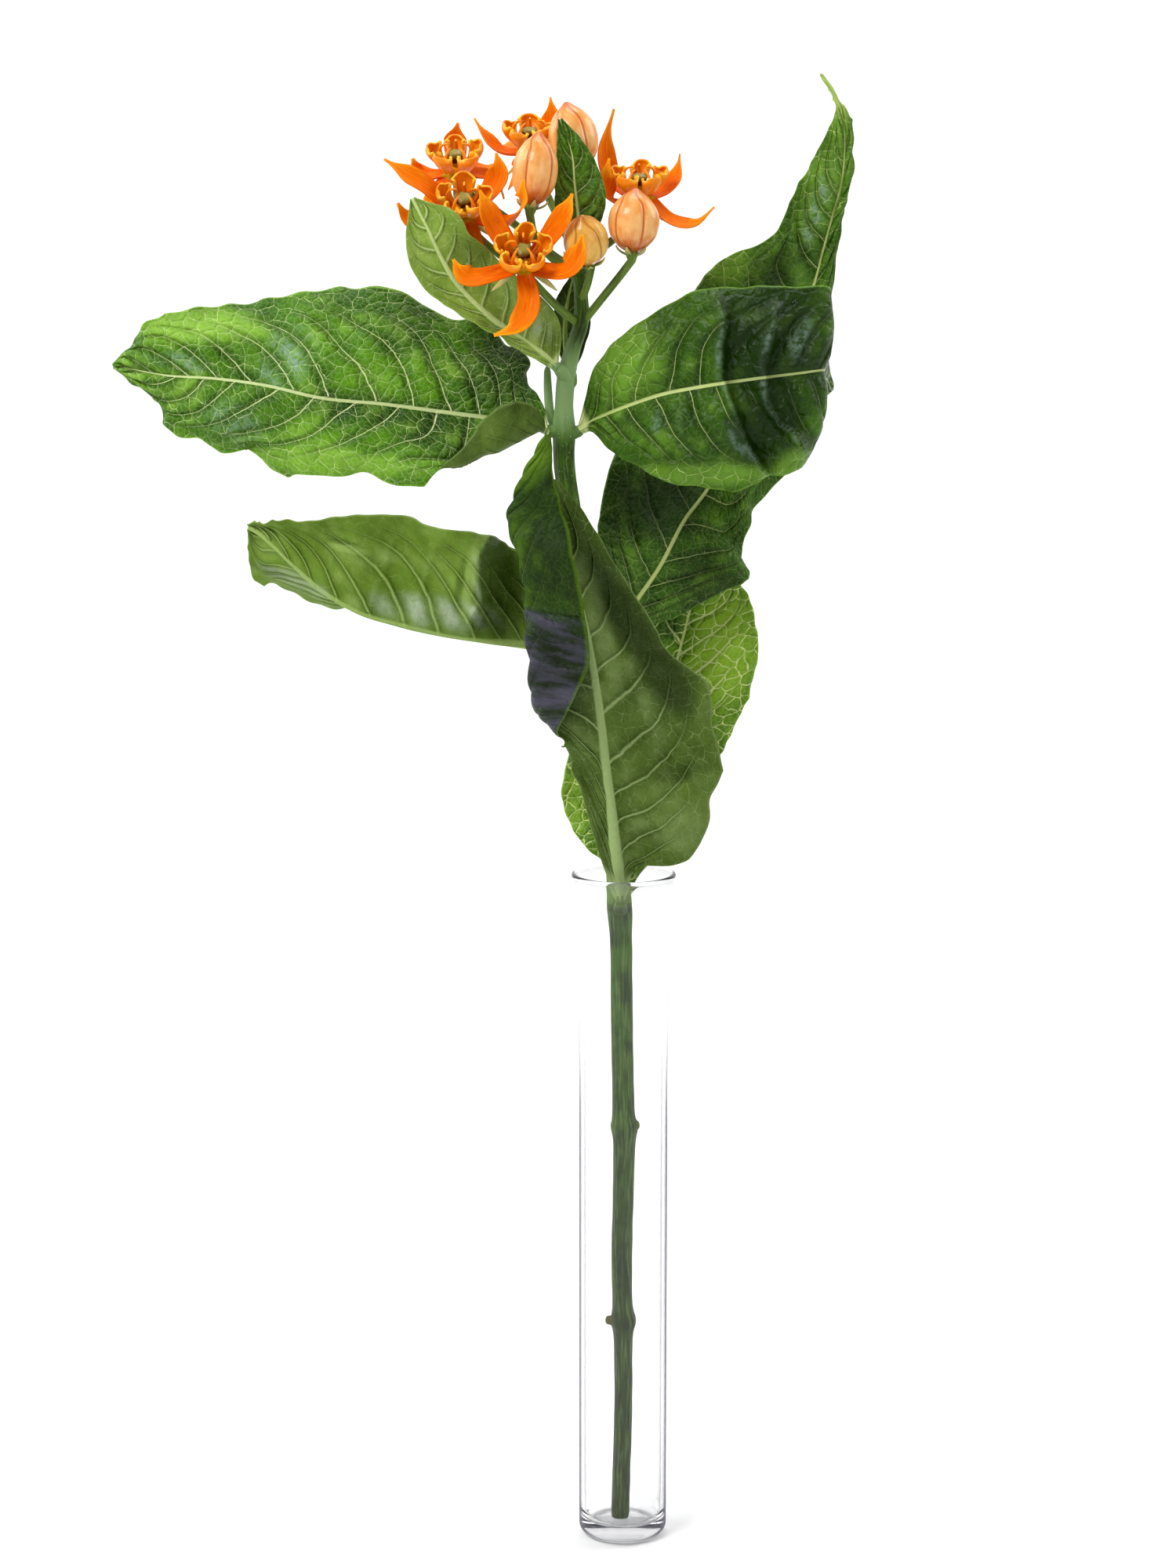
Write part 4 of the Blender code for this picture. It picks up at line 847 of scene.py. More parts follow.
def drops_skin(skin, drops):
    """Beads of water on a skin, each at the place that the picture shows at a column and row."""
    points = skin["points"].reshape(-1, 3)
    column, row = seen(points)
    beads = []
    for at_column, at_row, radius in drops:
        apart = np.hypot(column - at_column, row - at_row)
        near = np.flatnonzero(apart < apart.min() + 3)
        place = points[near[np.argmin(np.linalg.norm(points[near] - EYE, axis=1))]]
        up = unit(unit(EYE - place) + np.array((0.0, 0.0, 0.3)))
        levels = [(radius * rise, radius * wide) for rise, wide in DROP]
        beads.append(lathe_skin(place, up, through(levels, 10), 16))
    return joined(beads)


def tint(red, green, blue):
    """Linear colour of a display colour given from 0 to 255."""
    shares = np.array((red, green, blue)) / 255
    linear = np.where(shares <= 0.04045, shares / 12.92, ((shares + 0.055) / 1.055) ** 2.4)
    return tuple(float(value) for value in linear)


def dimmed(colour, share):
    return tuple(share * value for value in colour)


class Wire:
    """A number in a finish; sums written with it become Math nodes."""

    def __init__(self, finish, socket):
        self.finish, self.socket = finish, socket

    def __add__(self, other):
        return self.finish.sum("ADD", self, other)

    def __sub__(self, other):
        return self.finish.sum("SUBTRACT", self, other)

    def __rsub__(self, other):
        return self.finish.sum("SUBTRACT", other, self)

    def __mul__(self, other):
        return self.finish.sum("MULTIPLY", self, other)

    def __truediv__(self, other):
        return self.finish.sum("DIVIDE", self, other)

    def __pow__(self, other):
        return self.finish.sum("POWER", self, other)

    __radd__ = __add__
    __rmul__ = __mul__


class Finish:
    """A material made node by node round its Principled shader."""

    def __init__(self, name, **constants):
        self.material = bpy.data.materials.new(name)
        self.material.use_nodes = True
        self.tree = self.material.node_tree
        self.shader = self.tree.nodes["Principled BSDF"]
        for socket, value in constants.items():
            self.feed(self.shader.inputs[socket.replace("_", " ")], value)

    def feed(self, socket, value):
        if isinstance(value, Wire):
            self.tree.links.new(value.socket, socket)
        elif isinstance(value, tuple) and socket.type == "RGBA":
            socket.default_value = (*value[:3], 1.0)
        else:
            socket.default_value = value

    def node(self, kind, settings, inputs, output=0):
        made = self.tree.nodes.new(kind)
        for setting, value in settings.items():
            setattr(made, setting, value)
        for socket, value in inputs.items():
            self.feed(made.inputs[socket], value)
        return Wire(self, made.outputs[output])

    def sum(self, operation, first, second):
        return self.node("ShaderNodeMath", {"operation": operation}, {0: first, 1: second})

    def most(self, first, second):
        return self.sum("MAXIMUM", first, second)

    def painted(self, colour, *coats):
        """A colour under coats of other colours, each laid on where its mask is."""
        for mask, coat in coats:
            colour = self.node("ShaderNodeMix", {"data_type": "RGBA"}, {0: mask, 6: colour, 7: coat}, 2)
        return colour

    def smooth(self, value, low, high):
        """0 at low, 1 at high, smooth between them."""
        inputs = {0: value, 1: low, 2: high, 3: 0.0, 4: 1.0}
        return self.node("ShaderNodeMapRange", {"interpolation_type": "SMOOTHSTEP"}, inputs)

    def mark(self, name):
        return self.node("ShaderNodeAttribute", {"attribute_name": name}, {}, "Vector")

    def parts(self, vector):
        made = self.tree.nodes.new("ShaderNodeSeparateXYZ")
        self.feed(made.inputs[0], vector)
        return [Wire(self, output) for output in made.outputs]

    def height(self):
        """Height above the table, in metres."""
        return self.parts(self.node("ShaderNodeNewGeometry", {}, {}, "Position"))[2]

    def place(self, *numbers):
        return self.node("ShaderNodeCombineXYZ", {}, dict(enumerate(numbers)))

    def noise(self, vector, scale, detail=3.0, rough=0.55, output=0):
        inputs = {"Vector": vector, "Scale": scale, "Detail": detail, "Roughness": rough}
        return self.node("ShaderNodeTexNoise", {}, inputs, output)

    def edges(self, vector, scale):
        """Distance to the nearest wall of a net of cells, as a share of the cell."""
        settings = {"feature": "DISTANCE_TO_EDGE", "voronoi_dimensions": "2D"}
        return self.node("ShaderNodeTexVoronoi", settings, {"Vector": vector, "Scale": scale})

    def shifted(self, vector, scale, amount):
        """The vector moved about by noise, by up to amount."""
        cloud = self.noise(vector, scale, 2.0, 0.5, "Color")
        kind = "ShaderNodeVectorMath"
        centred = self.node(kind, {"operation": "SUBTRACT"}, {0: cloud, 1: (0.5, 0.5, 0.5)})
        scaled = self.node(kind, {"operation": "SCALE"}, {0: centred, "Scale": amount})
        return self.node(kind, {"operation": "ADD"}, {0: vector, 1: scaled})

    def bump(self, height, depth, strength=1.0):
        """Relief of the given depth in mm."""
        inputs = {"Strength": strength, "Distance": depth * MM, "Height": height}
        return self.node("ShaderNodeBump", {}, inputs)

    def done(self, **inputs):
        for socket, value in inputs.items():
            self.feed(self.shader.inputs[socket.replace("_", " ")], value)
        return self.material


PALE_TIP = tint(190, 214, 116)


def leaf_colours(name, dark, middle, light, vein, gloss=0.38, under=False, net=1.0, show=0.6, net_in_painted_shade=0.5,
                 painted_sheen_tint=(0.3, 0.42, 0.36), relief=1.0, bold=1.0, sheen=0.75, wrinkled=False,
                 lit_net=0.0, pale_tip=0.0):
    """Milkweed leaf: a pale midrib, paired side veins, a net between them, and soft green clouds, with
    painted shade, painted light and painted sheen laid on from its patches.
    net, show and bold make the veins plainer, net_in_painted_shade and lit_net in its places of painted shade
    and of lighter colour."""
    finish = Finish(name, Specular_IOR_Level=0.15)
    plane = finish.mark("plane")
    u, v, _ = finish.parts(plane)
    phase, spacing, rib = finish.parts(finish.mark("ribs"))
    along, out, _ = finish.parts(finish.mark("place"))
    # Three marks laid on in colour: painted shade in deep places, lighter colour that is mostly painted
    # light, and painted sheen
    deep, pale_and_painted_light, silver = finish.parts(finish.mark("painted_shading"))

    # Midrib, side veins and the two nets between them
    wander = finish.noise(plane, 0.16, 2.0) - 0.5
    width = finish.sum("ABSOLUTE", v, 0.0)
    midrib = 1 - finish.smooth(width / rib, 0.38, 0.85)
    to_middle = finish.sum("PINGPONG", phase + wander * 0.2, 0.5)
    to_vein = to_middle * spacing
    inner = finish.smooth(out + wander * 0.5, 0.95, 0.55)
    wide_vein = (0.34 if under else 0.24) * bold
    side_vein = (1 - finish.smooth(to_vein / (1 - out * 0.5), wide_vein * 0.3, wide_vein)) * inner
    trough = (1 - finish.smooth(to_vein, 0.1, 1.5)) * inner
    ridge = finish.smooth(to_middle, 0.12, 0.42) * inner
    net_walls = finish.edges(finish.shifted(plane, 0.45, 1.6), 0.34)
    veinlets = 1 - finish.smooth(net_walls, 0.005 * bold, 0.035 * bold)
    fine_walls = finish.edges(finish.shifted(plane, 1.1, 0.5), 0.85)
    fine = 1 - finish.smooth(fine_walls, 0.01, 0.1)
    broken = finish.smooth(finish.noise(plane, 0.5, 2.0), 0.35, 0.6)
    # The net fades where shade is painted
    clear = 1 - deep * (1 - net_in_painted_shade)
    net_show = veinlets * (broken * 0.7 + 0.3) * (pale_and_painted_light * lit_net + net)
    net_show = finish.most(net_show, side_vein * (1.1 - out * 0.4)) * clear * clear * show

    # Green clouds of random tone, with painted shade in the troughs beside the side veins and in the deep
    # places, and painted light on the ridges between them
    clouds = finish.noise(plane, 0.06, 4.0, 0.6) - deep * 0.3 + pale_and_painted_light * 0.25
    clouds = finish.smooth(clouds, 0.36, 0.64)
    patches = finish.smooth(finish.noise(plane, 0.25, 4.0, 0.65) - deep * 0.15, 0.32, 0.7)
    pale = finish.noise(finish.place(v, u, 5.0), 0.13, 4.0, 0.62) + pale_and_painted_light * 0.2
    pale = finish.smooth(pale, 0.46, 0.72)
    colour = finish.painted(
        dark,
        # Ridges are painted lighter and troughs painted darker, as light and shade would fall on the quilted
        # blade
        (clouds * 0.5 + patches * 0.3 + ridge * 0.2, middle),
        (pale * (ridge * 0.5 + 0.5) * 0.5, light),
        (trough * (0.15 if under else 0.3) * (1 - pale_and_painted_light * 0.6), dimmed(dark, 0.5)),
        # Painted shade in the deep places, then lighter colour, mostly painted light, in the lit places
        (deep * 0.8, dimmed(dark, 0.34)),
        (pale_and_painted_light * 0.6, light),
        (fine * clear * (0.16 * net), vein),
        (net_show, vein),
        # The midrib is dimmed where shade is painted
        (midrib * (1 - deep * 0.35) * 0.9, vein),
    )

    # Painted sheen: silvery glints on the ridges, and on a wrinkled blade a painted reflection broken by its
    # wrinkles; then the pale stalk, tip and margin
    if wrinkled:
        wrinkles = finish.noise(finish.place(u, v * 0.22, 3.0), 0.3, 3.0)
        painted_sheen_mask = silver * finish.smooth(wrinkles, 0.38, 0.66)
    else:
        dull, clear_glint = (0.1, 0.62) if under else (0.36, 0.6)
        glints = finish.smooth(finish.noise(plane, 0.6, 4.0, 0.75), dull, clear_glint)
        painted_sheen_mask = silver * (ridge * 0.85 + 0.15) * glints
    colour = finish.painted(colour, (painted_sheen_mask * sheen, painted_sheen_tint), (finish.smooth(along, 0.075, 0.04), vein))
    if pale_tip:
        colour = finish.painted(colour, (finish.smooth(along, 0.87, 0.965) * pale_tip, PALE_TIP))
    # The margin's paler rim: partly the blade's own pale edge, partly painted rim light
    margin = finish.smooth(out, 0.975, 0.995) * finish.smooth(along, 0.06, 0.12)
    colour = finish.painted(colour, (margin * 0.5, light))

    # Relief: veins stand out beneath and are sunk above
    grain = finish.noise(plane, 3.2, 3.0, 0.6)
    beside = finish.smooth(width / rib, 0.7, 1.3)
    if under:
        veins = (1 - finish.smooth(to_vein, 0.0, 0.8)) * inner * beside
        height = veins + veinlets * 0.1 + fine * 0.1 + grain * 0.12
    else:
        cell = finish.smooth(net_walls, 0.0, 0.3)
        height = (cell * 0.6 + fine_walls * 0.35 - trough * 1.2) * beside + grain * 0.15
    if wrinkled:
        height = height + wrinkles * silver * 14.0
    rough = gloss + (1 - patches) * 0.1 + net_show * 0.1 - silver * 0.14
    return finish.done(Base_Color=colour, Roughness=rough, Normal=finish.bump(height, 0.4 * relief))


def petal_finish(name, deep, middle, light, streak=0.5):
    """Silky petal: fine streaks along it, deeper at its foot and paler along its edges and tip."""
    finish = Finish(name, Specular_IOR_Level=0.05)
    u, v, seed = finish.parts(finish.mark("plane"))
    along, out, far = finish.parts(finish.mark("place"))
    streaks = finish.noise(finish.place(u * 0.12, v, seed), 2.6, 4.0, 0.65)
    broad = finish.noise(finish.place(u * 0.2, v, seed), 0.55, 2.0)
    blush = finish.smooth(broad + (streaks - 0.5) * 0.5, 0.56, 0.74) * finish.smooth(out, 1.0, 0.3)
    edge = finish.smooth(out, 0.9, 1.0) * finish.smooth(streaks, 0.4, 0.6)
    colour = finish.painted(
        deep,
        (finish.smooth(along + (broad - 0.5) * 0.5, 0.0, 0.55), middle),
        (finish.smooth(along + out * 0.25 + (streaks - 0.5) * 0.5, 0.72, 1.15), light),
        (finish.smooth(streaks, 0.52, 0.7) * streak, light),
        (finish.smooth(streaks, 0.44, 0.3) * streak * 0.7, deep),
        (blush * 0.6, deep),
        (edge * 0.45, tint(190, 50, 0)),
        (finish.smooth(far, 2.6, 1.6), tint(196, 168, 30)),
    )
    return finish.done(Base_Color=colour, Roughness=0.38 + streaks * 0.14,
                       Normal=finish.bump(streaks, 0.16, 0.8))


def corona_finish():
    """Waxy amber hoods: golden at their lips, deep orange down in the scoop."""
    finish = Finish("corona_amber_wax", Specular_IOR_Level=0.25, Coat_Weight=0.12, Coat_Roughness=0.2)
    along, out, far = finish.parts(finish.mark("place"))
    cloud = finish.noise(finish.place(along * 3.0, out, far), 1.6, 3.0)
    lips = finish.smooth(out + (cloud - 0.5) * 0.4, 0.45, 0.95) * finish.smooth(along, 0.1, 0.5)
    colour = finish.painted(
        tint(206, 82, 0),
        (finish.smooth(along, 0.0, 0.45), tint(244, 140, 0)),
        (lips, tint(255, 190, 36)),
        (finish.smooth(cloud, 0.55, 0.75) * 0.5, tint(226, 96, 0)),
    )
    return finish.done(Base_Color=colour, Roughness=0.32 + cloud * 0.1, Normal=finish.bump(cloud, 0.08, 0.5))


def head_finish():
    """The head: olive gold on top, dark purple-brown down its sides, with five paler wings."""
    finish = Finish("head_olive_wax", Specular_IOR_Level=0.3, Coat_Weight=0.1, Coat_Roughness=0.25)
    share, turn, radius = finish.parts(finish.mark("place"))
    wing = finish.sum("PINGPONG", turn * PETALS, 0.5)
    cloud = finish.noise(finish.place(share * 3.0, turn * 8.0, radius), 2.0, 3.0)
    level = share + (cloud - 0.5) * 0.16
    colour = finish.painted(
        tint(180, 150, 30),
        (finish.smooth(level, 0.3, 0.42), tint(56, 20, 6)),
        (finish.smooth(level, 0.62, 0.84), tint(112, 92, 16)),
        (finish.smooth(level, 0.9, 1.02), tint(146, 132, 44)),
        (finish.smooth(wing, 0.36, 0.48) * 0.4, tint(170, 122, 30)),
    )
    return finish.done(Base_Color=colour, Roughness=0.36 + cloud * 0.12, Normal=finish.bump(cloud, 0.08, 0.5))


def bud_finish(name, deep, middle, light):
    """Glossy closed petals: peach with fine streaks, orange lines where the petals meet, deeper at the foot
    and tip, with painted shade at the foot.
    """
    finish = Finish(name, Specular_IOR_Level=0.3, Coat_Weight=0.45, Coat_Roughness=0.12)
    share, apart, around = finish.parts(finish.mark("seam"))
    streaks = finish.noise(finish.place(share * 2.0, around * 9.0, apart * 0.4), 2.2, 3.0, 0.6)
    cloud = finish.noise(finish.place(share * 3.0, around, apart * 0.3), 1.1, 3.0)
    colour = finish.painted(
        middle,
        (finish.smooth(cloud, 0.3, 0.7), light),
        (finish.smooth(streaks, 0.5, 0.75) * 0.4, light),
        # Deeper orange at the foot: partly the bud's own colour, partly painted shade; the brown below it is
        # painted shade
        (finish.smooth(share + (cloud - 0.5) * 0.4, 0.34, -0.05), deep),
        (finish.smooth(share + (streaks - 0.5) * 0.2, 0.2, -0.02) * 0.5, tint(120, 80, 20)),
        (finish.smooth(share, 0.82, 1.02) * 0.8, deep),
        ((1 - finish.smooth(apart, 0.08, 0.42)) * 0.9, deep),
    )
    height = finish.smooth(apart, 0.0, 0.7) + streaks * 0.3
    return finish.done(Base_Color=colour, Roughness=0.3 + streaks * 0.15,
                       Normal=finish.bump(height, 0.12, 0.6))


# Heights above the table, in metres, between which the stem changes: its dark foot, the flecks that
# begin, the pale bloom on it, and the joint that the lower leaves leave from
DARK_FOOT = (0.03, 0.14)
FLECKS = (0.1, 0.23)
BLOOM_FROM, BLOOM_TO = (0.242, 0.25), (0.266, 0.258)
JOINT, JOINT_END = 0.1431, (0.152, 0.149)


def stem_finish(name, low, high, bloom, specks=0.2):
    """Green stalk: fine ribs along it, a paler waxy bloom and short pale flecks towards the top."""
    finish = Finish(name, Specular_IOR_Level=0.2)
    _, turn, far = finish.parts(finish.mark("place"))
    height = finish.height()
    angle = turn * 2 * math.pi
    sine, cosine = finish.sum("SINE", angle, 0.0), finish.sum("COSINE", angle, 0.0)
    spin = finish.place(sine * 2.0, cosine * 2.0, far * 0.06)
    ribs = finish.noise(spin, 2.4, 4.0, 0.65)
    cloud = finish.noise(finish.place(turn * 3.0, far * 0.12, 0.0), 0.8, 4.0, 0.6)
    flecks = finish.node("ShaderNodeTexVoronoi", {"feature": "F1"},
                         {"Vector": finish.place(turn * 12.0, far * 0.7, 0.0), "Scale": 1.2})
    fleck = (1 - finish.smooth(flecks, 0.12, 0.26)) * finish.smooth(height, *FLECKS)
    knot = finish.smooth(height, JOINT - 0.0012, JOINT) * finish.smooth(height, *JOINT_END)
    ring = finish.smooth(height, JOINT - 0.002, JOINT - 0.001) * finish.smooth(height, JOINT + 0.0008, JOINT)
    colour = finish.painted(
        low,
        (finish.smooth(height, *DARK_FOOT), high),
        (finish.smooth(cloud, 0.4, 0.62) * 0.75, dimmed(low, 0.42)),
        (finish.smooth(ribs, 0.46, 0.68) * 0.42, bloom),
        (finish.smooth(height, *BLOOM_FROM) * finish.smooth(height, *BLOOM_TO) * 0.8, tint(142, 176, 114)),
        (fleck * specks, tint(176, 200, 140)),
        (knot * 0.75, tint(112, 140, 66)),
        (ring * 0.65, tint(48, 60, 22)),
    )
    relief = ribs * 0.8 + fleck * (0.7 * specks) + finish.noise(spin, 9.0, 2.0) * 0.25
    return finish.done(Base_Color=colour, Roughness=0.45 + cloud * 0.15,
                       Normal=finish.bump(relief, 0.25, 0.9))


def scale_finish(name, low, high):
    """The small narrow green scales and calyx points."""
    finish = Finish(name, Specular_IOR_Level=0.35)
    along, out, far = finish.parts(finish.mark("place"))
    cloud = finish.noise(finish.place(along * 4.0, out, far), 1.4, 3.0)
    colour = finish.painted(low, (finish.smooth(along + (cloud - 0.5) * 0.5, 0.0, 0.8), high))
    return finish.done(Base_Color=colour, Roughness=0.45 + cloud * 0.1, Normal=finish.bump(cloud, 0.1, 0.5))


# Radii in mm between which the wall's outer face is told from its bore, and heights in metres between
# which the painted grey edge lines along the tube fade and its lip begins
OUTER_FACE = (9.3, 9.6)
EDGE_FADES, FAINT_FADES = (0.092, 0.127), (0.085, 0.135)
LIP_BEGINS = (0.1475, 0.149)


def glass_finish():
    """Clear glass with painted grey lines where it is seen edge on, standing in for the dark edges that
    refraction shows, fainter in its upper third.
    """
    finish = Finish("clear_tube_glass", Base_Color=(0.985, 0.988, 0.992), Roughness=0.01, IOR=1.3,
                    Transmission_Weight=1.0)
    grey = finish.node("ShaderNodeBsdfDiffuse", {}, {"Color": (0.17, 0.165, 0.21)})
    edge_on = finish.node("ShaderNodeLayerWeight", {}, {"Blend": 0.5}, "Facing")
    height, radius = finish.height(), finish.parts(finish.mark("place"))[2]
    outer = finish.smooth(radius, *OUTER_FACE) * (1 - finish.smooth(height, *EDGE_FADES))
    faint = 1 - finish.smooth(height, *FAINT_FADES) * 0.75
    lip = finish.smooth(height, *LIP_BEGINS)
    # Painted grey edge lines, strongest edge on and on the outer face, fading up the tube, with a faint grey
    # at the lip
    lines = finish.smooth(edge_on, 0.4, 1.0) ** 1.5 * finish.most(faint, lip * 0.15) * 0.85
    lines = finish.most(lines, finish.smooth(edge_on, 0.56, 0.84) * outer * 0.95)
    lines = finish.most(lines, lip * 0.08)
    glass = Wire(finish, finish.shader.outputs[0])
    mixed = finish.node("ShaderNodeMixShader", {}, {0: lines, 1: glass, 2: grey})
    output = next(node for node in finish.tree.nodes if node.type == "OUTPUT_MATERIAL")
    finish.tree.links.new(mixed.socket, output.inputs["Surface"])
    return finish.material


def water_finish():
    return Finish("water_drop", Base_Color=(0.98, 0.99, 0.97), Roughness=0.01, IOR=1.33,
                  Transmission_Weight=1.0).material


def make_vase(glass):
    """The tube: thick rounded foot, straight wall, slightly wider neck and a beaded lip."""
    bore = FOOT_RADIUS - WALL
    foot_flat = FOOT_RADIUS - FOOT_ROUND
    bead = WALL / 2
    inner_turn = np.radians(np.linspace(-90, 0, 14))
    bead_turn = np.radians(np.linspace(160, -60, 20))
    foot_turn = np.radians(np.linspace(0, -90, 14))
    levels = [(BASE_THICK, 0.02), (BASE_THICK, 2.0), (BASE_THICK, bore - INNER_ROUND - 0.6)]
    levels += [(BASE_THICK + INNER_ROUND * (1 + math.sin(a)), bore - INNER_ROUND + INNER_ROUND * math.cos(a))
               for a in inner_turn]
    levels += [(12.0, bore), (60.0, bore), (STRAIGHT_TOP - 6, bore), (STRAIGHT_TOP, bore)]
    levels += [(LIP_START - 8, NECK_RADIUS - WALL - 0.14), (LIP_START, NECK_RADIUS - WALL)]
    levels += [(VASE_HEIGHT - bead + bead * math.sin(a), LIP_RADIUS - bead + bead * math.cos(a))
               for a in bead_turn]
    levels += [(LIP_START, NECK_RADIUS), (LIP_START - 8, NECK_RADIUS - 0.14), (STRAIGHT_TOP, FOOT_RADIUS)]
    levels += [(STRAIGHT_TOP - 6, FOOT_RADIUS), (60.0, FOOT_RADIUS), (8.0, FOOT_RADIUS)]
    levels += [(FOOT_ROUND * (1 + math.sin(a)), foot_flat + FOOT_ROUND * math.cos(a)) for a in foot_turn]
    levels += [(0.0, foot_flat - 0.7), (0.12, foot_flat - 1.3), (0.4, 4.0), (0.5, 2.0), (0.5, 0.02)]
    skin = lathe_skin(np.zeros(3), (0.0, 0.0, 1.0), levels, 160)
    piece("vase_tube", skin, [glass], "vase")


# Column, row and radius in mm of each bead of water
DROPS = {
    "bloom_front": ((635, 282, 0.55), (622, 258, 0.3), (606, 328, 0.25), (716, 325, 0.3)),
    "bloom_right": (
        (846, 273, 0.3), (857, 279, 0.42), (866, 272, 0.3), (875, 277, 0.36), (884, 270, 0.25),
        (839, 281, 0.3),
    ),
    "leaf_upper_right": ((1013, 384, 0.7), (958, 512, 0.4), (1002, 470, 0.35)),
    "leaf_upper_left": ((460, 560, 0.3), (588, 470, 0.35)),
    "stem": (
        (801, 1312, 0.4), (804, 1326, 0.3), (799, 1340, 0.35), (782, 1322, 0.3), (795, 1352, 0.25),
        (797, 1556, 0.4), (798, 1725, 0.35), (792, 1480, 0.2), (784, 1176, 0.25), (800, 1168, 0.25),
        (790, 1610, 0.2),
    ),
    "leaf_long": ((905, 700, 0.4), (935, 690, 0.3)),
}


def make_drops(name, skin, water, node):
    """The beads of water on a piece, where the picture shows any."""
    if name in DROPS:
        piece(name + "_drops", drops_skin(skin, DROPS[name]), [water], node)


def knob_skin(points):
    """The short knob that an old bud left on the stem."""
    far = spots(points)
    tip = far[-1] + unit(far[-1] - far[0]) * 0.5 * MM
    return round_skin(through(np.vstack([far, [tip]]), 14), eased((1.3, points[-1][3], 0.25), 14) * MM, 16)


def make_stem(stem, stalk, shoot, water):
    """Main stalk with its swollen joints, leaf bosses, side shoot, old bud knobs and flower stalks."""
    rows, sides = 320, 32
    radii = eased([point[3] for point in STEM], rows) * MM
    radii[0] *= 0.9
    radii[-3:] *= (0.9, 0.7, 0.3)
    path = through(spots(STEM), rows)
    height = path[:, 2:3]
    angles = turns(sides)[None, :]
    flutes = np.sin(5 * angles + 14 * height / 0.1 * 0.2) * 0.018 * (1 + 2.4 * ease(0.2, 0.235, height))
    lumps = swell(height / MM + 0 * angles, 14 * np.sin(angles) + 0 * height, 9.0, 5) * 0.02
    core = round_skin(path, radii, sides, 1 + flutes + lumps)
    bosses = [round_skin(*stub_path(name), 16) for name in LEAVES]
    knobs = [knob_skin(SIDE_STALKS[name]) for name in ("old_bud_low", "old_bud_high")]
    points = SIDE_STALKS["axil_shoot"]
    size = eased([point[3] * MM for point in points], 40)
    size[-3:] *= (0.85, 0.6, 0.25)
    side_shoot = round_skin(through(spots(points), 40), size, 14)
    stalks = [stalk_path(bloom["pedicel"], spot(*bloom["foot"]), bloom["axis"]) for bloom in BLOOMS.values()]
    for bud in BUDS.values():
        base, tip = spot(*bud["base"]), spot(*bud["tip"])
        stalks.append(stalk_path(bud["pedicel"], base, tip - base, 0.9))
    stalks = [round_skin(*rod, 14) for rod in stalks]
    piece("stem_core", core, [stem], "stem")
    make_drops("stem", core, water, "stem")
    for name, skin, finish in (("leaf_bosses", joined(bosses), stem), ("old_bud_knobs", joined(knobs), shoot),
                               ("axil_shoot", side_shoot, shoot), ("flower_stalks", joined(stalks), stalk)):
        piece(name, skin, [finish], "stem")


def make_leaf(name, upper, under, water, seed, **form):
    guides = LEAVES[name]
    rows, columns = (220, 34) if guides["plain"] else (110, 22)
    skin = leaf_skin(guides, rows, columns, seed, **form)
    piece(name + "_blade", skin, [upper, under], name)
    make_drops(name, skin, water, name)


def make_bloom(name, bloom, petal, corona, head, scale, water):
    """Five petals on their disc, the corona of hoods and horns, the head, and the scales behind."""
    foot = spot(*bloom["foot"])
    axis, ways = flower_frame(bloom["axis"], BLOOM_TURN)
    disc = lathe_skin(foot, axis, through(DISC, 20), 40)
    disc["marks"]["plane"] = disc["marks"]["place"]
    petals = [petal_skin(foot, axis, way, PETAL_WIDTH, number + 1.7)
              for number, way in enumerate(bloom["petals"])]
    petal_ring = joined([disc] + petals)
    sides = 60
    ring = lathe_skin(foot, axis, through(RING, 18), sides)
    draw = np.random.default_rng(len(name) + 2)
    scoops = [hood_skin(foot, axis, out, draw) for out in ways]
    horns = [horn_skin(foot, axis, out) for out in ways]
    outline = through(HEAD, 40)
    wings = 1 + 0.13 * np.cos(5 * turns(sides))[None, :] ** 3 * ease(3.0, 4.0, outline[:, :1])
    crown = lathe_skin(foot, axis, outline, sides, wings)
    long = 8.0 if name == "front" else 5.2
    scales = [sepal_skin(foot, axis, unit(out + np.cross(axis, out) * 0.75), long, 1.4, -34, -0.4)
              for out in ways]
    bloom = "bloom_" + name
    piece(bloom + "_petal_ring", petal_ring, [petal], bloom + "_petals")
    make_drops(bloom, petal_ring, water, bloom + "_petals")
    piece(bloom + "_hoods", joined([ring] + scoops + horns), [corona], bloom + "_corona")
    piece(bloom + "_crown", crown, [head], bloom + "_head")
    piece(bloom + "_scales", joined(scales), [scale], bloom + "_petals")


def make_bud(name, bud, finish, scale, turn):
    """A closed bud and the narrow scales round its foot."""
    base, tip = spot(*bud["base"]), spot(*bud["tip"])
    skin = bud_skin(base, tip, bud["radius"], turn)
    piece(f"bud_{name}_body", skin, [finish], f"bud_{name}")
    axis, ways = flower_frame(tip - base, turn + 0.5)
    scales = [sepal_skin(base, axis, out, 2.9, 1.2, 24, 0.75) for out in ways]
    piece(f"bud_{name}_scales", joined(scales), [scale], f"bud_{name}")


# Paper sweep in metres: its near edge, where it begins to rise, the radius of that rise, and its top
# and half width. It lies just under the vase.
PAPER_NEAR, PAPER_RISES, PAPER_BEND, PAPER_TOP, PAPER_HALF = -4.0, 0.95, 0.35, 2.0, 4.0
FLOOR_GAP = 0.05

# Each lamp: place, what it aims at and size in metres, and power in watts
ON_PLANT, ON_PAPER = (0.0, 0.0, 0.2), (0.0, 0.85, 0.25)
LAMPS = {
    "key": ((-0.6, -0.6, 1.0), ON_PLANT, 0.5, 9.5),
    "fill": ((0.7, -1.0, 0.5), ON_PLANT, 0.6, 2.5),
    "top": ((0.1, 0.25, 1.2), ON_PLANT, 0.6, 5.0),
    "paper_left": ((-1.0, 0.35, 0.8), ON_PAPER, 0.8, 7.8),
    "paper_right": ((1.0, 0.35, 0.8), ON_PAPER, 0.8, 7.8),
}
ROOM_LIGHT = 0.2


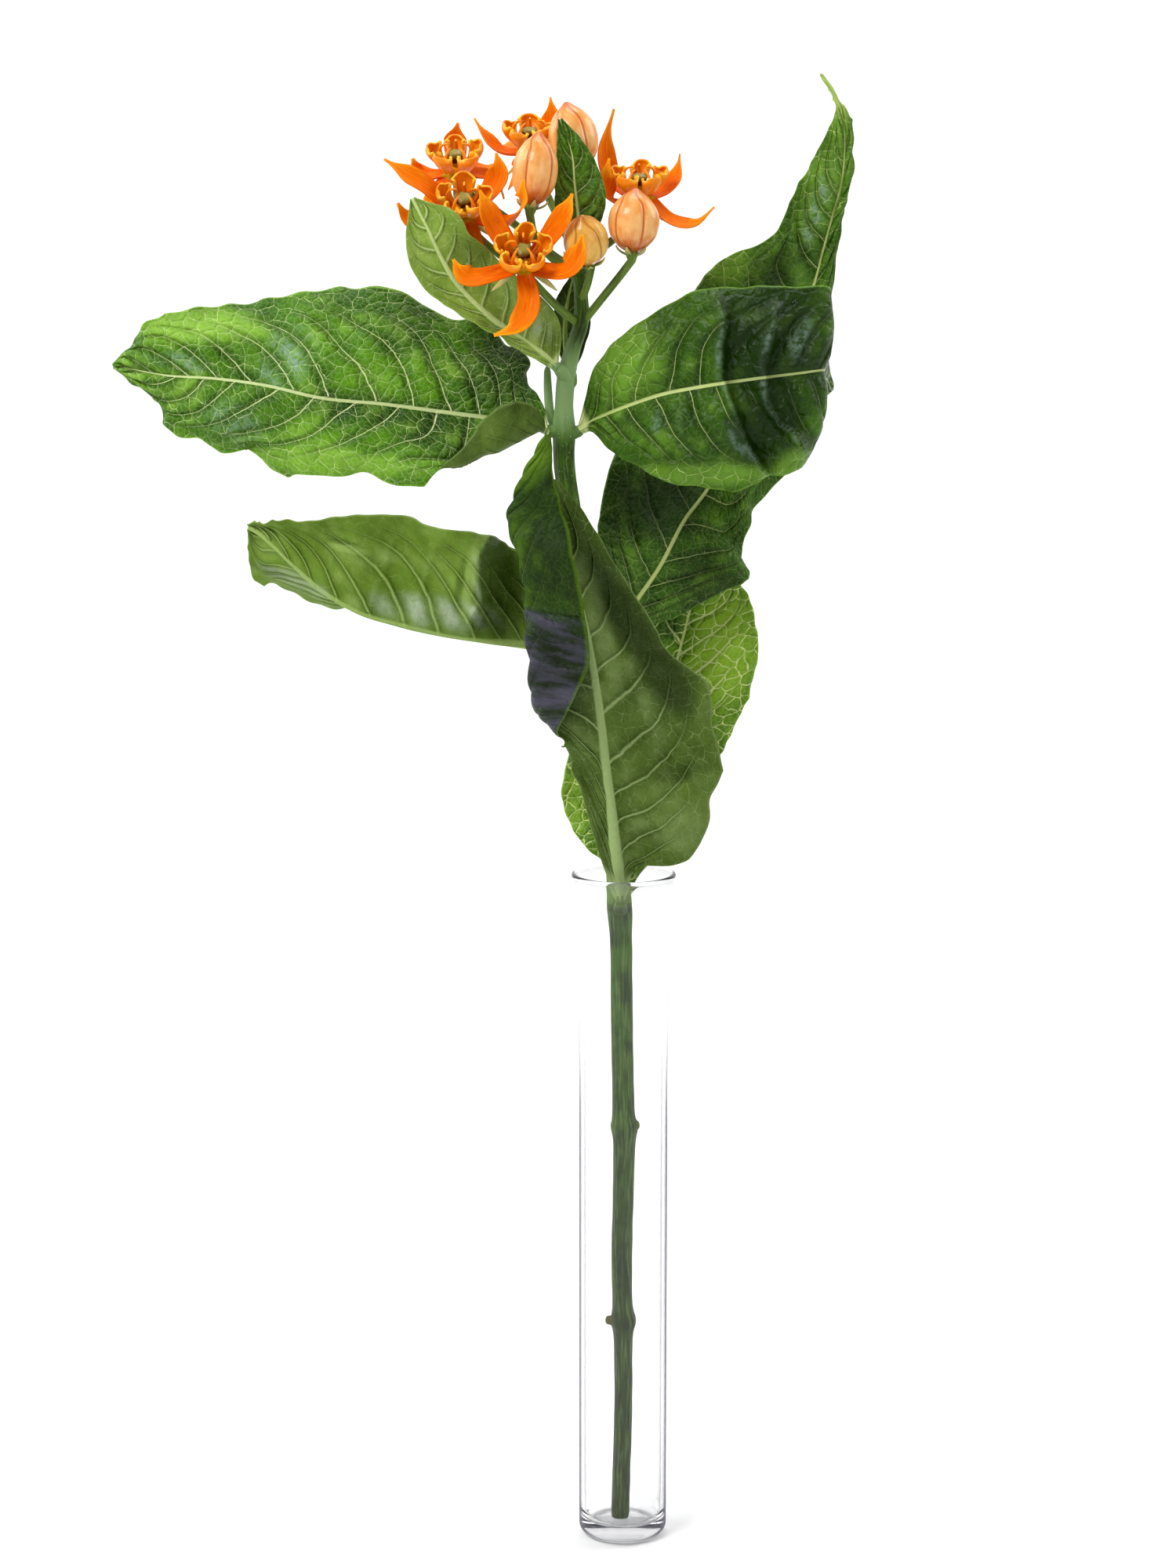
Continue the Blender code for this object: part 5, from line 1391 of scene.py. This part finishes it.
def make_paper():
    """A wide pale floor that sweeps up far behind."""
    bend = np.radians(np.linspace(0, 90, 17))
    profile = [(PAPER_NEAR, 0.0)]
    profile += [(PAPER_RISES + PAPER_BEND * math.sin(a), PAPER_BEND * (1 - math.cos(a))) for a in bend]
    profile += [(PAPER_RISES + PAPER_BEND, PAPER_TOP)]
    points = [(x, y, z - FLOOR_GAP * MM) for y, z in profile for x in (-PAPER_HALF, PAPER_HALF)]
    faces = [(2 * n, 2 * n + 1, 2 * n + 3, 2 * n + 2) for n in range(len(profile) - 1)]
    mesh = bpy.data.meshes.new("paper_sweep")
    mesh.from_pydata(points, [], faces)
    mesh.shade_smooth()
    paper = Finish("white_paper", Base_Color=(0.93, 0.93, 0.93), Roughness=0.9, Specular_IOR_Level=0.0)
    mesh.materials.append(paper.material)
    sweep = bpy.data.objects.new("paper_sweep", mesh)
    bpy.context.scene.collection.objects.link(sweep)


def make_lights():
    """Soft lamps round the plant and on the paper, in a dim white room."""
    world = bpy.data.worlds.new("studio")
    world.use_nodes = True
    room = world.node_tree.nodes["Background"].inputs
    room["Color"].default_value = (1, 1, 1, 1)
    room["Strength"].default_value = ROOM_LIGHT
    bpy.context.scene.world = world
    for name, (place, aim, size, power) in LAMPS.items():
        light = bpy.data.lights.new(name, "AREA")
        light.size, light.energy = size, power
        lamp = bpy.data.objects.new(name, light)
        lamp.location = place
        lamp.rotation_euler = (Vector(place) - Vector(aim)).to_track_quat("Z", "Y").to_euler()
        bpy.context.scene.collection.objects.link(lamp)


def make_camera():
    view = bpy.data.cameras.new("camera")
    view.lens, view.sensor_width = LENS, SENSOR
    view.clip_start = 0.01
    camera = bpy.data.objects.new("camera", view)
    camera.location = EYE
    camera.rotation_euler = (math.pi / 2 - PITCH, 0, 0)
    bpy.context.scene.collection.objects.link(camera)
    bpy.context.scene.camera = camera
    bpy.context.scene.view_settings.view_transform = "Standard"


# Greens of the leaves: dark, middle and light; then the tints of their veins
FRESH = (tint(38, 82, 0), tint(88, 144, 6), tint(150, 200, 66))
DEEP = (tint(28, 60, 0), tint(62, 106, 8), tint(116, 162, 46))
YOUNG = (tint(32, 68, 0), tint(72, 120, 10), tint(126, 172, 54))
# Greens painted brighter and yellower, as if lit through from behind: painted backlight
PAINTED_BACKLIT_GREENS = (tint(44, 86, 0), tint(90, 136, 2), tint(150, 192, 44))
DULL = (tint(56, 80, 6), tint(92, 117, 40), tint(130, 152, 88))
BLUISH = (tint(76, 106, 16), tint(110, 142, 42), tint(148, 174, 92))
OLIVE = (tint(36, 54, 0), tint(62, 86, 10), tint(92, 118, 36))
NIGHT = (tint(16, 36, 0), tint(38, 70, 0), tint(96, 134, 16))
SAP = (tint(104, 134, 40), tint(138, 166, 62), tint(172, 196, 104))
CREAM = tint(200, 214, 136)
PALE = tint(146, 172, 90)

# Each leaf's upper and under finish: its greens, its veins and how it departs from a plain leaf
ABOVE = {
    "leaf_upper_left": (FRESH, tint(212, 226, 158), {
        "net": 0.9, "show": 0.85, "net_in_painted_shade": 1.0, "bold": 0.68}),
    "leaf_lower_left": (DEEP, CREAM, {}),
    # The flap shows this side with a purple-grey painted reflection, broken by wrinkles
    "leaf_front": (NIGHT, PALE, {
        "gloss": 0.55, "net": 0.3, "show": 0.3, "relief": 0.5, "painted_sheen_tint": tint(68, 66, 80),
        "sheen": 1.0, "wrinkled": True}),
    "leaf_back": (PAINTED_BACKLIT_GREENS, CREAM, {"net": 1.25, "show": 1.0, "bold": 1.7}),
    "leaf_upper_right": (DEEP, CREAM, {
        "gloss": 0.28, "net": 0.3, "show": 0.66, "net_in_painted_shade": 0.0, "bold": 0.58, "lit_net": 1.9}),
    "leaf_long": (DEEP, CREAM, {
        "net": 0.6, "show": 0.6, "net_in_painted_shade": 0.3, "bold": 0.7, "lit_net": 1.5, "pale_tip": 0.85}),
    "leaf_small_left": (FRESH, CREAM, {}),
    "leaf_small_right": (OLIVE, CREAM, {"net": 0.5, "show": 0.4}),
    "leaf_top": (YOUNG, CREAM, {"net": 0.6, "show": 0.55, "bold": 0.6}),
}
UNDERSIDE = {"gloss": 0.5, "under": True, "net": 0.5}
BELOW = {
    "leaf_upper_left": (DULL, PALE, UNDERSIDE),
    # A grey-white painted sheen between the side veins
    "leaf_lower_left": (BLUISH, PALE, UNDERSIDE | {
        "gloss": 0.48, "show": 0.7, "net_in_painted_shade": 1.0, "relief": 1.1, "painted_sheen_tint": tint(184, 196, 176)}),
    "leaf_front": (DULL, tint(150, 172, 108), UNDERSIDE | {"net": 0.7, "show": 0.75, "sheen": 0.0}),
    "leaf_back": (PAINTED_BACKLIT_GREENS, CREAM, {"gloss": 0.45, "net": 1.25, "show": 1.0, "relief": 0.7, "bold": 1.7}),
    "leaf_upper_right": (DULL, PALE, UNDERSIDE),
    "leaf_long": (DEEP, PALE, UNDERSIDE | {"gloss": 0.45, "pale_tip": 0.85}),
    # A pale painted sheen on its blade
    "leaf_small_left": (SAP, tint(186, 206, 132), UNDERSIDE | {
        "net": 0.9, "show": 0.75, "painted_sheen_tint": tint(178, 196, 164)}),
    "leaf_small_right": (OLIVE, PALE, UNDERSIDE | {"net": 0.3, "show": 0.4}),
    "leaf_top": (DULL, PALE, UNDERSIDE | {"relief": 0.6}),
}


def leaf_finishes(side, coats):
    """One side's finish of every leaf."""
    return {name: leaf_colours(f"{name.removeprefix('leaf_')}_{side}", *greens, vein, **settings)
            for name, (greens, vein, settings) in coats.items()}


# How each leaf is formed. A patch is its kind, column, row, half width, half height, turn and strength;
# its kind paints shade, lighter colour that is mostly painted light, sheen, or a silvery reflection with firm
# edges.
# A fold is its line of columns and rows, how soft and how steep its sides are in pixels, and its height
# in mm; a raised fold also paints a highlight on its crest and shade past it. A bend of the margin is its
# column, row, width in pixels and depth in mm, outwards if positive.
LEAF_FORMS = {
    "leaf_upper_left": {
        "seed": 1, "veins": 15, "wide_rib": 0.78,
        "bends": (
            (282, 573, 6, 0.8), (255, 559, 12, -1.4), (320, 586, 18, -3.2), (365, 598, 8, 1.4),
            (470, 615, 22, -1.6), (540, 612, 12, 2.0), (330, 395, 34, 2.2), (435, 374, 14, 1.2),
            (530, 378, 18, -0.7), (572, 390, 36, -2.0), (176, 444, 7, -1.2), (195, 420, 6, 0.6)),
        "patches": (
            ("deep", 640, 470, 62, 60, 20, 0.7), ("deep", 470, 520, 150, 22, 6, 0.5),
            ("pale_and_painted_light", 250, 415, 90, 26, 0, 0.7), ("pale_and_painted_light", 420, 590, 120, 20, 4, 0.5),
            ("silver", 366, 458, 34, 46, 30, 0.75), ("silver", 232, 462, 46, 12, 12, 0.6),
            ("deep", 560, 560, 60, 30, 10, 0.4), ("silver", 300, 540, 44, 26, 30, 0.4),
            ("deep", 520, 400, 40, 60, 20, 0.4))},
    "leaf_lower_left": {
        "seed": 2, "veins": 13, "quilt": 0.9,
        "patches": (
            ("deep", 650, 755, 30, 66, 0, 0.45), ("silver", 552, 780, 92, 22, 8, 0.75),
            ("silver", 372, 742, 62, 15, 24, 0.6), ("deep", 346, 728, 30, 6, 22, 0.4),
            ("deep", 586, 750, 6, 46, 10, 0.4), ("pale_and_painted_light", 600, 738, 8, 56, 8, 0.6),
            ("pale_and_painted_light", 445, 700, 28, 6, 14, 0.8), ("deep", 440, 692, 27, 3, 14, 0.6),
            ("pale_and_painted_light", 340, 690, 26, 26, 0, 0.4)),
        "folds": (
            (((627, 683), (610, 713), (613, 767), (597, 800)), 20, 4, 4.0),
            (((638, 690), (622, 720), (625, 770), (610, 800)), 5, 30, -2.6),
            (((560, 690), (545, 730), (530, 790)), 16, 8, 0.8),
            (((500, 690), (490, 730), (470, 780)), 16, 8, 0.6))},
    "leaf_front": {
        "seed": 3, "veins": 15, "wide_rib": 1.3, "quilt": 0.6, "hills": 0.8,
        "bends": (
            (870, 828, 28, -3.0), (906, 868, 8, 0.7), (916, 925, 20, -1.2), (918, 982, 8, 0.8),
            (912, 1020, 18, -1.5), (868, 1092, 12, 1.2), (827, 1105, 16, -2.0)),
        "patches": (
            ("sheet", 700, 862, 70, 78, 8, 1.0), ("deep", 706, 862, 62, 74, 8, 0.9),
            ("deep", 800, 790, 28, 150, -32, 1.0), ("deep", 858, 872, 34, 44, -20, 0.7),
            ("pale_and_painted_light", 682, 580, 26, 40, 20, 0.8), ("pale_and_painted_light", 872, 1060, 40, 40, 0, 0.4),
            ("pale_and_painted_light", 766, 800, 15, 84, -14, 0.6), ("deep", 690, 720, 30, 60, 0, 0.3),
            ("deep", 868, 985, 40, 14, -14, 0.4))},
    "leaf_back": {
        "seed": 4, "veins": 13, "quilt": 0.4,
        "patches": (
            ("pale_and_painted_light", 920, 830, 50, 90, 10, 0.8), ("deep", 850, 800, 30, 20, -25, 0.5),
            ("pale_and_painted_light", 730, 1020, 20, 60, 0, 0.4))},
    "leaf_upper_right": {
        "seed": 5, "veins": 12, "quilt": 0.5, "hills": 0.5, "wide_rib": 0.68,
        "bends": ((850, 606, 6, 0.7), (928, 621, 8, 0.7), (980, 618, 18, -1.0)),
        "folds": (
            (((916, 376), (926, 410), (920, 442), (922, 483), (938, 527), (957, 572), (980, 609)),
             20, 6, 3.0),
            (((994, 392), (984, 430), (976, 466), (978, 512), (994, 540), (1016, 552), (1028, 580)),
             18, 5, 3.0),
            (((820, 380), (826, 430), (812, 505)), 20, 14, 0.8),
            (((868, 520), (872, 560), (890, 600)), 20, 12, 0.9)),
        "patches": (
            ("deep", 992, 440, 84, 110, 0, 0.85), ("deep", 972, 556, 58, 44, 0, 0.75),
            ("pale_and_painted_light", 786, 440, 58, 84, -30, 0.7), ("pale_and_painted_light", 880, 606, 130, 16, 0, 0.7),
            ("pale_and_painted_light", 1010, 590, 30, 16, -35, 0.6), ("silver", 1022, 436, 15, 34, 12, 0.5),
            ("silver", 940, 560, 9, 30, -30, 0.4), ("silver", 838, 540, 8, 16, 10, 0.5))},
    "leaf_long": {
        "seed": 6, "veins": 18, "quilt": 0.6, "wide_rib": 0.72,
        "patches": (
            ("deep", 840, 640, 70, 50, 0, 0.8), ("deep", 900, 740, 50, 40, 0, 0.5),
            ("pale_and_painted_light", 925, 335, 36, 34, 0, 0.9), ("pale_and_painted_light", 1070, 130, 20, 50, 0, 0.9),
            ("pale_and_painted_light", 1052, 235, 34, 80, 14, 0.65), ("silver", 1040, 268, 13, 58, 18, 0.7),
            ("deep", 985, 345, 30, 30, 30, 0.5), ("deep", 1010, 330, 24, 40, 20, 0.3))},
    "leaf_small_left": {
        "seed": 7, "veins": 9, "wide_rib": 0.8, "quilt": 0.4, "hills": 0.4,
        "patches": (
            ("deep", 600, 330, 24, 60, -30, 0.4), ("deep", 700, 440, 14, 20, 0, 0.5),
            ("silver", 684, 408, 34, 26, 40, 0.8))},
    "leaf_small_right": {
        "seed": 8, "veins": 5, "wide_rib": 0.6, "quilt": 0.2, "hills": 0.2,
        "patches": (("deep", 745, 400, 14, 50, 0, 0.5),)},
    "leaf_top": {
        "seed": 9, "veins": 7, "wide_rib": 0.7, "quilt": 0.35, "hills": 0.25,
        "patches": (("deep", 735, 290, 40, 30, 0, 0.5),)},
}

# How far each bud is turned on its stalk, in radians
BUD_TURNS = {"left": 0.1, "top": 0.35, "front": 0.2, "right": 0.55}


def make_stems_and_leaves(water):
    stem = stem_finish("stem_bark", tint(50, 64, 14), tint(62, 98, 6), tint(122, 154, 80))
    stalk = stem_finish("stalk_green", tint(94, 122, 40), tint(104, 134, 46), tint(146, 168, 92), 0.1)
    shoot = stem_finish("shoot_green", tint(96, 84, 48), tint(104, 136, 50), tint(140, 160, 96))
    make_stem(stem, stalk, shoot, water)
    above, below = leaf_finishes("above", ABOVE), leaf_finishes("below", BELOW)
    for name, form in LEAF_FORMS.items():
        make_leaf(name, above[name], below[name], water, **form)


def make_flowers(water):
    petal = petal_finish("petal_orange_silk", tint(206, 66, 0), tint(240, 114, 2), tint(255, 162, 24))
    corona, head = corona_finish(), head_finish()
    scale = scale_finish("scale_green", tint(118, 140, 66), tint(196, 186, 110))
    for name, bloom in BLOOMS.items():
        make_bloom(name, bloom, petal, corona, head, scale, water)
    peach = bud_finish("bud_peach_silk", tint(198, 84, 4), tint(226, 140, 56), tint(246, 186, 112))
    straw = bud_finish("bud_straw_silk", tint(186, 112, 24), tint(216, 152, 46), tint(240, 192, 92))
    for name, turn in BUD_TURNS.items():
        make_bud(name, BUDS[name], straw if name == "front" else peach, scale, turn)


def main():
    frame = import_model()
    make_camera()
    make_paper()
    make_lights()
    make_vase(glass_finish())
    water = water_finish()
    make_stems_and_leaves(water)
    make_flowers(water)
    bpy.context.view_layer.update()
    return frame


main()
